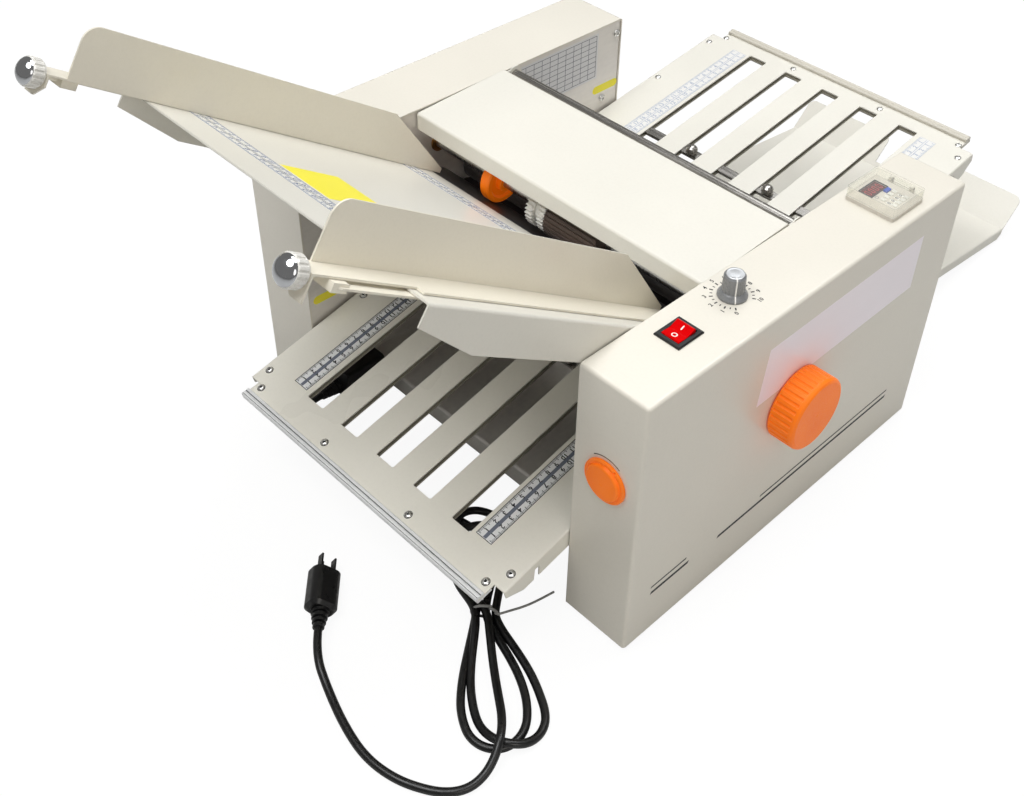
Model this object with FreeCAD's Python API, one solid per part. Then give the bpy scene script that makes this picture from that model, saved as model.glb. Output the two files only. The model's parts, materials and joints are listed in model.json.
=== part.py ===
import FreeCAD, Part
import math
import os

from FreeCAD import Vector

# Desk-top buckle paper folding machine, in millimetres.
# X runs across the paper path, Y from the feed side to the delivery side, Z up.
# The model is laid out from the middle of the paper path (X = 0), the front face of the two
# side housings (Y = 0) and the surface that the feet stand on (Z = 0).  The exported pieces are
# moved so that the origin is the bottom centre of the machine's own box.

# ---- side housings -------------------------------------------------------------------------------
GAP = 340.0                 # clear width between the two side housings
RIGHT_WIDTH = 66.0
LEFT_WIDTH = 72.0
SIDE_LENGTH = 412.0
SIDE_HEIGHT = 270.0
FOOT_HEIGHT = 6.0
COVER_T = 1.5               # painted sheet of the housing covers
COVER_R = 3.0               # outer bend radius of the covers
PLATE_T = 3.0               # zinc plated side plates
PLATE_RECESS = 1.0          # side plate behind the cover's inner edge
SEAM = 0.4                  # clearance between a cover and what it slides over
FOOT_D = 24.0
FOOT_INSET = 34.0

# ---- rollers and drive ---------------------------------------------------------------------------
HAND_AXIS_Y = 187.7         # axis of the hand wheel and of the roller it turns
HAND_AXIS_UP = 158.2        # above the underside of the housings
GEAR_MODULE = 1.5
GEAR_TEETH = 23
GEAR_WIDTH = 9.0
GEAR_GAP = 1.2              # gear face to side plate
ROLLER_NIP = 0.5            # gap between two neighbouring rollers
NIP_1_ANGLE = 62.0          # direction from the hand wheel's roller to the infeed roller
NIP_2_ANGLE = -37.0         # to the roller of the second nip
NIP_3_ANGLE = 213.5         # from the second nip's roller to the exit roller
SHAFT_D = 10.0
RUNNING_FIT = 0.03          # radial clearance of a shaft in its bush
BUSH_D = 16.0
BUSH_FLANGE_D = 19.0
BUSH_FLANGE_T = 1.5
ROLLER_END_GAP = 6.0        # roller body to side plate
HAND_WHEEL_D = 67.2
HAND_WHEEL_DEPTH = 25.4
HAND_WHEEL_GAP = 1.2
HAND_WHEEL_RIBS = 34
MOTOR_TEETH = 30
MOTOR_ANGLE = -20.0         # direction from the second nip's roller to the motor
MOTOR_D = 56.0
MOTOR_LENGTH = 42.0
MOTOR_STANDOFF = 13.0       # motor face to side plate, the gears run in between
DRIVE_TEETH = 51            # gear that turns the feed shaft

# ---- feed table and side guides ------------------------------------------------------------------
FEED_SLOPE = 34.0
FEED_LENGTH = 312.0
FEED_END_Y = 126.36         # rear edge of the table's top face, by the rollers
FEED_END_UP = 223.03        # above the underside of the housings
FEED_SIDE_GAP = 1.2         # table to the housing covers, each side
TABLE_T = 1.5
TABLE_FLANGE_FRONT = 16.6
TABLE_FLANGE = 32.0
TABLE_TAPER = 60.0
GUIDE_T = 1.5
GUIDE_HEIGHT = 41.5
GUIDE_FRONT = -65.0         # along the table from its front edge
GUIDE_BEVEL = 73.0          # start of the guides' sloping end, before the table's rear edge
GUIDE_OVERHANG = 10.0       # guides past the table's rear edge
GUIDE_FLANGE = 25.5
GUIDE_CORNER = 12.0
GUIDE_RIGHT_X = 130.0       # inner face of the right guide
GUIDE_LEFT_X = 138.5        # inner face of the left guide, to the other side
ARM_WIDTH = 20.0
ARM_FRONT = -79.0
TAB_DEPTH = 17.0
CLAMP_WIDTH = 14.0
CLAMP_FRONT = -66.0
CLAMP_LENGTH = 150.0
CLAMP_GAP = 0.3             # clamp strip to the underside of the table
GUIDE_LIFT = 0.3            # guide flange to the table
GUIDE_KNOB_D = 21.0
GUIDE_KNOB_LENGTH = 10.0
KNURLS = 16
GUIDE_KNOB_DROP = 3.8       # knob axis under the arm's top face
GUIDE_STUD_D = 4.0
PIN_D = 6.0
PIN_PLAY = 0.1
TABLE_PIN_DROP = 22.0       # hook studs under the table's top face
TABLE_PINS = (82.0, 16.0)   # before the table's rear edge
INFEED_REACH = 52.0         # infeed plate from the table to the first nip
INFEED_GAP = 1.0
INFEED_STEP = 1.5           # infeed plate below the table's top face
INFEED_FLANGE = 14.0
INFEED_FLANGE_REACH = 30.0

# ---- feed shaft ----------------------------------------------------------------------------------
FEED_WHEEL_D = 44.0
FEED_WHEEL_WIDTH = 11.0
FEED_WHEEL_X = -91.0
FEED_GEAR_TEETH = 30
FEED_GEAR_MODULE = 1.25
FEED_GEAR_WIDTH = 22.0
FEED_GEAR_X = -34.0
FEED_ROLLER_D = 43.0
FEED_ROLLER_LENGTH = 60.0
FEED_ROLLER_X = 20.0
FEED_ROLLER_RIBS = 30
RUNNING_GAP = 0.3           # pieces that pass each other without touching

# ---- top cover and tie rod -----------------------------------------------------------------------
ROD_D = 10.0
ROD_Y = 257.6
ROD_UP = 262.5
LID_FRONT_Y = 136.0
LID_REAR_Y = 245.6
LID_FRONT_UP = 267.0
LID_REAR_UP = 272.0
LID_SIDE_GAP = 0.6
LID_FLANGE = 17.0
EAR_R = 8.5

# ---- fold trays ----------------------------------------------------------------------------------
TRAY_SIDE_GAP = 1.2
TRAY_T = 1.2
TRAY_GAP = 4.0              # between the upper and the lower plate
TRAY_FLANGE = 19.0
TRAY_FLANGE_TIP = 8.5       # flange depth at the outer corner
TRAY_TAPER = 17.0
TRAY_NOTCH_DEPTH = 17.5
FRONT_NOTCH = 11.5
REAR_NOTCH = 15.0
SLOT_WIDTH = 22.0
SLOT_PITCH = 48.6
SLOT_COUNT = 5
FRONT_TRAY_SLOPE = 14.0
FRONT_TRAY_END_Y = 165.277  # inner edge of the top face, by the rollers
FRONT_TRAY_END_UP = 130.9
FRONT_TRAY_LENGTH = 260.0
FRONT_SLOT_START = 36.6
REAR_TRAY_SLOPE = 8.7
REAR_TRAY_END_Y = 239.527
REAR_TRAY_END_UP = 149.06
REAR_TRAY_LENGTH = 350.0
REAR_SLOT_START = 24.0
SLOT_END = 26.0
EDGE_BAR_DEPTH = 8.5
EDGE_BAR_OVERLAP = 7.0      # reach over the upper plate
EDGE_BAR_RISE = 3.2
EDGE_BAR_TONGUE = 14.0      # reach under the upper plate
EDGE_BAR_TONGUE_T = 2.6
FRONT_STOP_INSET = 46.0     # along the tray from its inner edge
REAR_STOP_INSET = 157.0
STOP_WIDTH = 10.0
STOP_PLAY = 0.3
STOP_NUT_D = 12.0
SCREW_D = 6.5
SCREW_H = 1.6
SCREW_SOCKET_D = 2.6
TRAY_PIN_DROP = 12.0
FRONT_TRAY_PINS = (156.0, 28.0)     # before the tray's inner edge
REAR_TRAY_PINS = (154.0, 32.0)
SCREW_ROW = 15.0            # row of screws behind the outer edge
SCREW_CORNER = 18.5         # outermost screws of the row from the sides
SCREW_SIDE = 8.0            # side screws from the sides
FRONT_SIDE_SCREW = 146.2
REAR_SIDE_SCREW = 119.0

# ---- delivery tray -------------------------------------------------------------------------------
DELIVERY_WIDTH = 306.0
DELIVERY_SLOPE = 5.7
DELIVERY_Y = 331.0          # front edge
DELIVERY_UP = 50.6
DELIVERY_LENGTH = 421.0
DELIVERY_T = 1.2
DELIVERY_FLANGE = 12.0
DELIVERY_FENCE = 43.0
DELIVERY_FENCE_TILT = 49.0
FENCE_TAB = 123.0
FENCE_CORNER = 9.0

# ---- frame members -------------------------------------------------------------------------------
CHANNEL_T = 2.0
FRONT_CHANNEL_Y = 62.0
FRONT_CHANNEL_DEPTH = 170.0
FRONT_CHANNEL_UP = 20.0
REAR_CHANNEL_DEPTH = 46.0

# ---- controls ------------------------------------------------------------------------------------
ROCKER_X = 27.1             # from the inner edge of the right housing
ROCKER_Y = 75.7
BEZEL_X = 24.5
BEZEL_Y = 28.5
BEZEL_H = 2.0
ROCKER_TILT = 9.0
DIAL_X = 25.3
DIAL_Y = 139.8
DIAL_SKIRT_D = 24.0
DIAL_CAP_D = 18.4
DIAL_H = 20.5
DIAL_FLUTES = 18
SPINDLE_D = 6.0
COUNTER_X = 32.0
COUNTER_Y = 334.5
COUNTER_SIZE_X = 48.0
COUNTER_SIZE_Y = 46.0
COUNTER_BEZEL_H = 3.5
COUNTER_LID_H = 13.0
LID_WALL = 1.2
BUTTON_X = -3.6             # from the middle of the counter
BUTTON_Y = 9.5
BUTTON_WIDTH = 4.0
BUTTON_LENGTH = 7.0
WINDOW_X = (-19.0, -6.6)    # display window, from the middle of the counter
WINDOW_Y = (-9.0, 14.0)
DIGIT_X = 8.2               # row of preset digits
DIGIT_Y = -5.0
DIGIT_PITCH = 5.8
DIGIT_COUNT = 4
DIGIT_WIDTH = 5.4
DIGIT_LENGTH = 3.6
THICKNESS_X = 32.8
THICKNESS_UP = 174.7
THICKNESS_D = 39.8
THICKNESS_SHAFT_D = 8.0
CAM_D = 20.0
CAM_THROW = 1.0
LUG_GAP = 36.0              # shaft lug in front of the lifting rod
SEPARATOR_ROD_D = 8.0
SEPARATOR_X = 20.0
SEPARATOR_SIZE = 34.0
SEPARATOR_DEPTH = 22.0
SEPARATOR_REST = 1.6        # pad below the paper plane with the knob at its stop

# ---- mains inlet and cord ------------------------------------------------------------------------
INLET_LENGTH = 45.0
INLET_DEPTH = 28.0
INLET_HEIGHT = 34.0
INLET_Y = 16.0
INLET_UP = 1.0
BOOT_LENGTH = 22.0
CORD_D = 7.0

# ---- values that follow from the ones above ------------------------------------------------------
HALF_GAP = GAP / 2
FEED_EDGE_Y = FEED_END_Y - FEED_LENGTH * math.cos(math.radians(FEED_SLOPE))
FEED_EDGE_UP = FEED_END_UP + FEED_LENGTH * math.sin(math.radians(FEED_SLOPE))
FRONT_TRAY_Y = FRONT_TRAY_END_Y - FRONT_TRAY_LENGTH * math.cos(math.radians(FRONT_TRAY_SLOPE))
FRONT_TRAY_UP = FRONT_TRAY_END_UP - FRONT_TRAY_LENGTH * math.sin(math.radians(FRONT_TRAY_SLOPE))
REAR_TRAY_Y = REAR_TRAY_END_Y + REAR_TRAY_LENGTH * math.cos(math.radians(REAR_TRAY_SLOPE))
REAR_TRAY_UP = REAR_TRAY_END_UP + REAR_TRAY_LENGTH * math.sin(math.radians(REAR_TRAY_SLOPE))
BASE = FOOT_HEIGHT
TOP = FOOT_HEIGHT + SIDE_HEIGHT
PLATE_IN = HALF_GAP + PLATE_RECESS
PLATE_OUT = PLATE_IN + PLATE_T
PLATE_Y0 = COVER_T + SEAM
PLATE_Y1 = SIDE_LENGTH - COVER_T - SEAM
PLATE_TOP = TOP - COVER_T - SEAM
ROLLER_PITCH = GEAR_MODULE * GEAR_TEETH
ROLLER_D = ROLLER_PITCH - ROLLER_NIP
FEED_HALF = HALF_GAP - FEED_SIDE_GAP
TRAY_HALF = HALF_GAP - TRAY_SIDE_GAP
LID_HALF = HALF_GAP - LID_SIDE_GAP
BORE_R = SHAFT_D / 2 + RUNNING_FIT
GEAR_X = PLATE_OUT + GEAR_GAP
SHAFT_END = GEAR_X + GEAR_WIDTH + 3.0
LEFT_END = PLATE_OUT + 3.0
HAND_SHAFT_END = HALF_GAP + RIGHT_WIDTH + HAND_WHEEL_GAP + HAND_WHEEL_DEPTH - 6.0
ROCKER_AXIS_Z = TOP - 2.0
COUNTER_HINGE = (COUNTER_Y + COUNTER_SIZE_Y / 2 + 3.2, TOP + 5.0)
BOOT_X = -PLATE_IN + 11.0
BOOT_Z = 17.0
BOOT_TIP_Y = INLET_Y - BOOT_LENGTH


def polar(centre, angle, distance):
    """Point at a distance from a (y, z) centre, the angle taken from +Y towards +Z."""
    turn = math.radians(angle)
    return (centre[0] + distance * math.cos(turn), centre[1] + distance * math.sin(turn))


ROLLER_2 = (HAND_AXIS_Y, BASE + HAND_AXIS_UP)
ROLLER_1 = polar(ROLLER_2, NIP_1_ANGLE, ROLLER_PITCH)
ROLLER_3 = polar(ROLLER_2, NIP_2_ANGLE, ROLLER_PITCH)
ROLLER_4 = polar(ROLLER_3, NIP_3_ANGLE, ROLLER_PITCH)
ROLLERS = {"infeed": ROLLER_1, "hand": ROLLER_2, "second": ROLLER_3, "exit": ROLLER_4}
MOTOR = polar(ROLLER_3, MOTOR_ANGLE, GEAR_MODULE * (GEAR_TEETH + MOTOR_TEETH) / 2)
MOTOR_FACE = HALF_GAP + PLATE_RECESS + PLATE_T + MOTOR_STANDOFF


# ---- basic shapes --------------------------------------------------------------------------------
def box(x0, x1, y0, y1, z0, z1):
    return Part.makeBox(x1 - x0, y1 - y0, z1 - z0, Vector(x0, y0, z0))


def cyl_x(x0, x1, at, radius):
    return Part.makeCylinder(radius, x1 - x0, Vector(x0, at[0], at[1]), Vector(1, 0, 0))


def cyl_y(x, y0, y1, z, radius):
    return Part.makeCylinder(radius, y1 - y0, Vector(x, y0, z), Vector(0, 1, 0))


def cyl_z(x, y, z0, z1, radius):
    return Part.makeCylinder(radius, z1 - z0, Vector(x, y, z0), Vector(0, 0, 1))


def polygon_face(points):
    return Part.Face(Part.makePolygon(points + [points[0]]))


def prism_x(profile, x0, x1):
    """Outline of (y, z) points, extruded from x0 to x1."""
    face = polygon_face([Vector(x0, y, z) for y, z in profile])
    return face.extrude(Vector(x1 - x0, 0, 0))


def prism_y(profile, y0, y1):
    """Outline of (x, z) points, extruded from y0 to y1."""
    face = polygon_face([Vector(x, y0, z) for x, z in profile])
    return face.extrude(Vector(0, y1 - y0, 0))


def prism_z(profile, z0, z1):
    """Outline of (x, y) points, extruded from z0 to z1."""
    face = polygon_face([Vector(x, y, z0) for x, y in profile])
    return face.extrude(Vector(0, 0, z1 - z0))


def edges_along(shape, direction, keep=lambda centre: True):
    found = []
    for edge in shape.Edges:
        if edge.Curve.TypeId != "Part::GeomLine":
            continue
        tangent = edge.tangentAt(edge.FirstParameter)
        if abs(abs(tangent.dot(direction)) - 1) < 1e-6 and keep(edge.CenterOfMass):
            found.append(edge)
    return found


def rounded(shape, radius, direction, keep=lambda centre: True):
    """Fillet the straight edges that run along a direction and that keep() accepts."""
    return shape.makeFillet(radius, edges_along(shape, direction, keep))


def revolve_x(profile, at):
    """Turned piece about the X axis through (y, z), from (x, radius) points."""
    face = polygon_face([Vector(x, at[0] + r, at[1]) for x, r in profile])
    return face.revolve(Vector(0, at[0], at[1]), Vector(1, 0, 0), 360)


def revolve_y(profile, x, z):
    """Turned piece about the Y axis through (x, z), from (y, radius) points."""
    face = polygon_face([Vector(x + r, y, z) for y, r in profile])
    return face.revolve(Vector(x, 0, z), Vector(0, 1, 0), 360)


def revolve_z(profile, x, y):
    """Turned piece about the Z axis through (x, y), from (z, radius) points."""
    face = polygon_face([Vector(x + r, y, z) for z, r in profile])
    return face.revolve(Vector(x, y, 0), Vector(0, 0, 1), 360)


def mirrored(shape):
    return shape.mirror(Vector(0, 0, 0), Vector(1, 0, 0))


def tilted(shape, slope, y, z):
    """Turn a piece about X so that +Y climbs by the slope, then move its origin to (y, z)."""
    copy = shape.copy()
    copy.rotate(Vector(0, 0, 0), Vector(1, 0, 0), slope)
    copy.translate(Vector(0, y, z))
    return copy


def joined(pieces):
    result = pieces[0]
    for piece in pieces[1:]:
        result = result.fuse(piece)
    return result.removeSplitter()


def group(pieces):
    return Part.makeCompound(pieces)


def on_feed(shape):
    return tilted(shape, -FEED_SLOPE, FEED_EDGE_Y, BASE + FEED_EDGE_UP)


def on_front_tray(shape):
    return tilted(shape, FRONT_TRAY_SLOPE, FRONT_TRAY_Y, BASE + FRONT_TRAY_UP)


def on_rear_tray(shape):
    """Pieces drawn with +Y from the outer edge towards the rollers, turned end for end."""
    copy = shape.copy()
    copy.rotate(Vector(0, 0, 0), Vector(0, 0, 1), 180)
    return tilted(copy, REAR_TRAY_SLOPE, REAR_TRAY_Y, BASE + REAR_TRAY_UP)


def feed_point(along, height):
    """(y, z) of a point given along the feed table's plane and above it."""
    turn = math.radians(FEED_SLOPE)
    y = FEED_EDGE_Y + along * math.cos(turn) + height * math.sin(turn)
    return (y, BASE + FEED_EDGE_UP - along * math.sin(turn) + height * math.cos(turn))


def tray_point(slope, edge_y, edge_up, towards, along, height):
    """(y, z) of a point along a fold tray from its outer edge and above its top face."""
    turn = math.radians(slope)
    rise = along * math.sin(turn) * towards + height * math.cos(turn)
    return (edge_y + towards * along * math.cos(turn) - height * math.sin(turn),
            BASE + edge_up + rise)


def front_tray_point(along, height):
    return tray_point(FRONT_TRAY_SLOPE, FRONT_TRAY_Y, FRONT_TRAY_UP, 1, along, height)


def rear_tray_point(along, height):
    return tray_point(REAR_TRAY_SLOPE, REAR_TRAY_Y, REAR_TRAY_UP, -1, along, height)


def heading(start, end):
    """Direction from one (y, z) point to another, in degrees from +Y towards +Z."""
    return math.degrees(math.atan2(end[1] - start[1], end[0] - start[0]))


def feed_contact():
    """Distance along the table at which the feed shaft's gear meets the infeed roller's."""
    start = feed_point(0, FEED_WHEEL_D / 2)
    turn = math.radians(FEED_SLOPE)
    dy = start[0] - ROLLER_1[0]
    dz = start[1] - ROLLER_1[1]
    centres = GEAR_MODULE * (GEAR_TEETH + DRIVE_TEETH) / 2
    half = dy * math.cos(turn) - dz * math.sin(turn)
    return -half - math.sqrt(half ** 2 - dy ** 2 - dz ** 2 + centres ** 2)


FEED_CONTACT = feed_contact()
FEED_SHAFT = feed_point(FEED_CONTACT, FEED_WHEEL_D / 2)
SHAFTS = list(ROLLERS.values()) + [FEED_SHAFT]
ROD = (ROD_Y, BASE + ROD_UP)
THICKNESS = (HALF_GAP + THICKNESS_X, BASE + THICKNESS_UP)
SEPARATOR_Z = THICKNESS[1] - CAM_THROW - CAM_D / 2 - RUNNING_GAP - SEPARATOR_ROD_D / 2
SEPARATOR_Y = feed_point(FEED_CONTACT, 0)[0]


# ---- side housings -------------------------------------------------------------------------------
def outer_bends(shape, radius, x_outer):
    """Round the three folded corners of a cover that is open on its inner side and below."""
    across = Vector(1, 0, 0)
    along = Vector(0, 1, 0)
    upright = Vector(0, 0, 1)
    at_outer = [e for e in edges_along(shape, along) if abs(e.CenterOfMass.x - x_outer) < 0.01
                and e.CenterOfMass.z > BASE + SIDE_HEIGHT / 2]
    at_outer += [e for e in edges_along(shape, upright) if abs(e.CenterOfMass.x - x_outer) < 0.01]
    at_outer += [e for e in edges_along(shape, across) if e.CenterOfMass.z > BASE + SIDE_HEIGHT / 2]
    return shape.makeFillet(radius, at_outer)


def blank_cover(width):
    """Folded sheet box around the right side plate, open inwards and downwards."""
    outer_x = HALF_GAP + width
    outside = outer_bends(box(HALF_GAP, outer_x, 0, SIDE_LENGTH, BASE, TOP), COVER_R, outer_x)
    inner_x = outer_x - COVER_T
    inside = outer_bends(box(HALF_GAP - 1, inner_x, COVER_T, SIDE_LENGTH - COVER_T, BASE - 1,
                             TOP - COVER_T), COVER_R - COVER_T, inner_x)
    return outside.cut(inside)


def rod_notch():
    return cyl_x(HALF_GAP - 1, PLATE_OUT + 1, ROD, ROD_D / 2 + SEAM)


def right_housing_cover():
    cover = blank_cover(RIGHT_WIDTH)
    outer_x = HALF_GAP + RIGHT_WIDTH
    x = HALF_GAP + ROCKER_X
    hole_x = BEZEL_X / 2 - 2
    hole_y = BEZEL_Y / 2 - 2
    switch_hole = box(x - hole_x, x + hole_x, ROCKER_Y - hole_y, ROCKER_Y + hole_y, TOP - 5, TOP + 5)
    cover = cover.cut(switch_hole)
    spindle_hole = SPINDLE_D / 2 + 2 * RUNNING_FIT
    cover = cover.cut(cyl_z(HALF_GAP + DIAL_X, DIAL_Y, TOP - 5, TOP + 5, spindle_hole))
    x = HALF_GAP + COUNTER_X
    hole = COUNTER_SIZE_Y / 2 - 4
    cover = cover.cut(box(x - hole, x + hole, COUNTER_Y - hole, COUNTER_Y + hole, TOP - 5, TOP + 5))
    cover = cover.cut(cyl_y(THICKNESS[0], -1, COVER_T + 1, THICKNESS[1], THICKNESS_SHAFT_D / 2 + 1))
    return cover.cut(cyl_x(outer_x - COVER_T - 1, outer_x + 1, ROLLER_2, SHAFT_D / 2 + 1.5))


def left_housing_cover():
    return mirrored(blank_cover(LEFT_WIDTH))


def side_plate(width):
    """Right-hand side plate with a foot flange that the cover closes over."""
    reach = HALF_GAP + width - COVER_T - SEAM
    upright = box(PLATE_IN, PLATE_OUT, PLATE_Y0, PLATE_Y1, BASE, PLATE_TOP)
    flange = box(PLATE_IN, reach, PLATE_Y0, PLATE_Y1, BASE, BASE + PLATE_T)
    plate = upright.fuse(flange)
    bend = edges_along(plate, Vector(0, 1, 0), lambda c: c.x < PLATE_IN + 0.01 and c.z < BASE + 0.01)
    plate = plate.removeSplitter().makeFillet(PLATE_T, bend)
    for axis in SHAFTS:
        plate = plate.cut(cyl_x(PLATE_IN - 1, PLATE_OUT + 1, axis, BUSH_D / 2))
    return plate


def right_side_plate():
    """Right plate with the lifting rod's window and the bent-out lug of the knob's shaft."""
    plate = side_plate(RIGHT_WIDTH)
    half = SEPARATOR_ROD_D / 2 + RUNNING_GAP
    plate = plate.cut(box(PLATE_IN - 1, PLATE_OUT + 1, SEPARATOR_Y - half, SEPARATOR_Y + half,
                          SEPARATOR_Z - half, SEPARATOR_Z + half + 2 * CAM_THROW))
    x, z = THICKNESS
    y = SEPARATOR_Y - LUG_GAP
    lug = box(PLATE_OUT - 0.5, x + THICKNESS_SHAFT_D, y - 2.5, y, z - 14, z + 14)
    plate = plate.fuse(lug)
    return plate.cut(cyl_y(x, y - 4, y + 1, z, THICKNESS_SHAFT_D / 2 + RUNNING_FIT)).removeSplitter()


def left_side_plate():
    return mirrored(side_plate(LEFT_WIDTH))


def rubber_feet():
    """Four turned rubber feet under the side plates' flanges."""
    feet = []
    for sign, width in ((1, RIGHT_WIDTH), (-1, LEFT_WIDTH)):
        x = sign * (HALF_GAP + width / 2)
        for y in (FOOT_INSET, SIDE_LENGTH - FOOT_INSET):
            profile = [(0, 0), (0, FOOT_D / 2 - 2), (2, FOOT_D / 2), (BASE, FOOT_D / 2 - 1), (BASE, 0)]
            feet.append(revolve_z(profile, x, y))
    return group(feet)


def channel(y0, top, depth):
    """Downward channel across the machine, between the two side plates."""
    outside = box(-PLATE_IN, PLATE_IN, y0, y0 + depth, BASE, top)
    outside = rounded(outside, 3, Vector(1, 0, 0), lambda c: c.z > top - 0.01)
    inside = box(-PLATE_IN - 1, PLATE_IN + 1, y0 + CHANNEL_T, y0 + depth - CHANNEL_T,
                 BASE - 1, top - CHANNEL_T)
    inside = rounded(inside, 1, Vector(1, 0, 0), lambda c: c.z > BASE)
    return outside.cut(inside)


def front_channel():
    return channel(FRONT_CHANNEL_Y, BASE + FRONT_CHANNEL_UP, FRONT_CHANNEL_DEPTH)


def delivery_z(y):
    """Underside of the delivery tray at a distance along the machine."""
    drop = math.tan(math.radians(DELIVERY_SLOPE)) * (y - DELIVERY_Y)
    return BASE + DELIVERY_UP - drop - DELIVERY_T / math.cos(math.radians(DELIVERY_SLOPE))


def rear_channel():
    """Channel whose sloping top carries the delivery tray's front end."""
    y0 = DELIVERY_Y + 1.5
    y1 = y0 + REAR_CHANNEL_DEPTH
    top0 = delivery_z(y0)
    top1 = delivery_z(y1)
    outside = prism_x([(y0, BASE), (y1, BASE), (y1, top1), (y0, top0)], -PLATE_IN, PLATE_IN)
    t = CHANNEL_T
    inside = prism_x([(y0 + t, BASE - 1), (y1 - t, BASE - 1), (y1 - t, delivery_z(y1 - t) - t),
                      (y0 + t, delivery_z(y0 + t) - t)], -PLATE_IN - 1, PLATE_IN + 1)
    return outside.cut(inside)


def top_tie_rod():
    rod = cyl_x(-PLATE_IN, PLATE_IN, ROD, ROD_D / 2)
    return rod.makeChamfer(0.6, [e for e in rod.Edges if e.Curve.TypeId == "Part::GeomCircle"])


# ---- top cover -----------------------------------------------------------------------------------
def top_cover():
    """Folded lid over the rollers, with an ear at each end that turns on the tie rod."""
    front = BASE + LID_FRONT_UP
    rear = BASE + LID_REAR_UP
    t = COVER_T
    outline = [(LID_FRONT_Y, front - LID_FLANGE), (LID_FRONT_Y, front), (LID_REAR_Y, rear),
               (LID_REAR_Y, rear - LID_FLANGE)]
    outside = prism_x(outline, -LID_HALF, LID_HALF)
    outside = outside.makeFillet(2.5, edges_along(outside, Vector(1, 0, 0),
                                                  lambda c: c.z > front - LID_FLANGE / 2))
    inner = [(LID_FRONT_Y + t, front - LID_FLANGE - 2), (LID_FRONT_Y + t, front - t),
             (LID_REAR_Y - t, rear - t), (LID_REAR_Y - t, rear - LID_FLANGE - 2)]
    inside = prism_x(inner, -LID_HALF + t, LID_HALF - t)
    inside = inside.makeFillet(1, edges_along(inside, Vector(1, 0, 0),
                                              lambda c: c.z > front - LID_FLANGE / 2))
    lid = outside.cut(inside)
    ear_low = ROD[1] - EAR_R
    ear_outline = [(LID_REAR_Y - 24, ear_low), (ROD[0], ear_low), (ROD[0], ROD[1] + 6),
                   (LID_REAR_Y, rear - 3), (LID_REAR_Y - 24, rear - 6)]
    for x0 in (-LID_HALF, LID_HALF - t):
        ear = prism_x(ear_outline, x0, x0 + t).fuse(cyl_x(x0, x0 + t, ROD, EAR_R))
        lid = lid.fuse(ear)
    lid = lid.cut(cyl_x(-LID_HALF - 1, LID_HALF + 1, ROD, ROD_D / 2 + 0.08))
    return lid.removeSplitter()


# ---- feed table, guides --------------------------------------------------------------------------
def feed_table():
    """Sloping table: a folded U with side flanges that taper towards the front."""
    along = Vector(0, 1, 0)
    outside = box(-FEED_HALF, FEED_HALF, 0, FEED_LENGTH, -TABLE_FLANGE, 0)
    outside = rounded(outside, 2.5, along, lambda c: c.z > -1)
    t = TABLE_T
    inside = box(-FEED_HALF + t, FEED_HALF - t, -1, FEED_LENGTH + 1, -TABLE_FLANGE - 1, -t)
    inside = rounded(inside, 1, along, lambda c: c.z > -TABLE_FLANGE)
    table = outside.cut(inside)
    taper = [(-1, -TABLE_FLANGE_FRONT), (0, -TABLE_FLANGE_FRONT), (TABLE_TAPER, -TABLE_FLANGE),
             (TABLE_TAPER, -TABLE_FLANGE - 1), (-1, -TABLE_FLANGE - 1)]
    table = table.cut(prism_x(taper, -HALF_GAP, HALF_GAP))
    for before_end in TABLE_PINS:
        at = (FEED_LENGTH - before_end, -TABLE_PIN_DROP)
        hole = cyl_x(-HALF_GAP, HALF_GAP, at, PIN_D / 2 + PIN_PLAY)
        table = table.cut(hole)
    return on_feed(table)


def stud_pair(at, inner_x):
    """Shouldered hook studs on both side plates at one (y, z)."""
    head = inner_x - TABLE_T - 2.0
    stud = cyl_x(head, PLATE_IN, at, PIN_D / 2).fuse(cyl_x(head - 2.0, head, at, PIN_D / 2 + 2))
    return [stud.removeSplitter(), mirrored(stud.removeSplitter())]


def hook_studs():
    """Studs on both side plates that carry the table and the two fold trays."""
    studs = []
    for before_end in TABLE_PINS:
        at = feed_point(FEED_LENGTH - before_end, -TABLE_PIN_DROP)
        studs += stud_pair(at, FEED_HALF)
    for before_end in FRONT_TRAY_PINS:
        at = front_tray_point(FRONT_TRAY_LENGTH - before_end, -TRAY_PIN_DROP)
        studs += stud_pair(at, TRAY_HALF)
    for before_end in REAR_TRAY_PINS:
        at = rear_tray_point(REAR_TRAY_LENGTH - before_end, -TRAY_PIN_DROP)
        studs += stud_pair(at, TRAY_HALF)
    return group(studs)


def guide(x):
    """Right-hand side guide in the table's frame: upright, flange, arm and knob tab."""
    low = GUIDE_LIFT
    t = GUIDE_T
    top = low + GUIDE_HEIGHT
    rear = FEED_LENGTH + GUIDE_OVERHANG
    bevel = FEED_LENGTH - GUIDE_BEVEL
    profile = [(GUIDE_FRONT, low), (GUIDE_FRONT, top), (bevel, top), (rear, low + 4.5), (rear, low)]
    upright = prism_x(profile, x, x + t)
    corner = edges_along(upright, Vector(1, 0, 0), lambda c: c.y < GUIDE_FRONT + 1 and c.z > top - 1)
    upright = upright.makeFillet(GUIDE_CORNER, corner)
    flange = box(x, x + t + GUIDE_FLANGE, 6, rear, low, low + t)
    arm = box(x, x + ARM_WIDTH, ARM_FRONT, 7, low, low + t)
    tab = box(x, x + ARM_WIDTH, ARM_FRONT, ARM_FRONT + t, low - TAB_DEPTH, low + t)
    below = low - TAB_DEPTH - 1
    slant = prism_y([(x - 1, below), (x - 1, low - 7), (x + ARM_WIDTH - 9, below)],
                    ARM_FRONT - 1, ARM_FRONT + t + 1)
    body = joined([upright, flange, arm, tab.cut(slant)])
    hole = cyl_y(x + ARM_WIDTH / 2, ARM_FRONT - 1, ARM_FRONT + t + 1, low + t - GUIDE_KNOB_DROP,
                 GUIDE_STUD_D / 2 + 0.08)
    return body.cut(hole)


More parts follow.
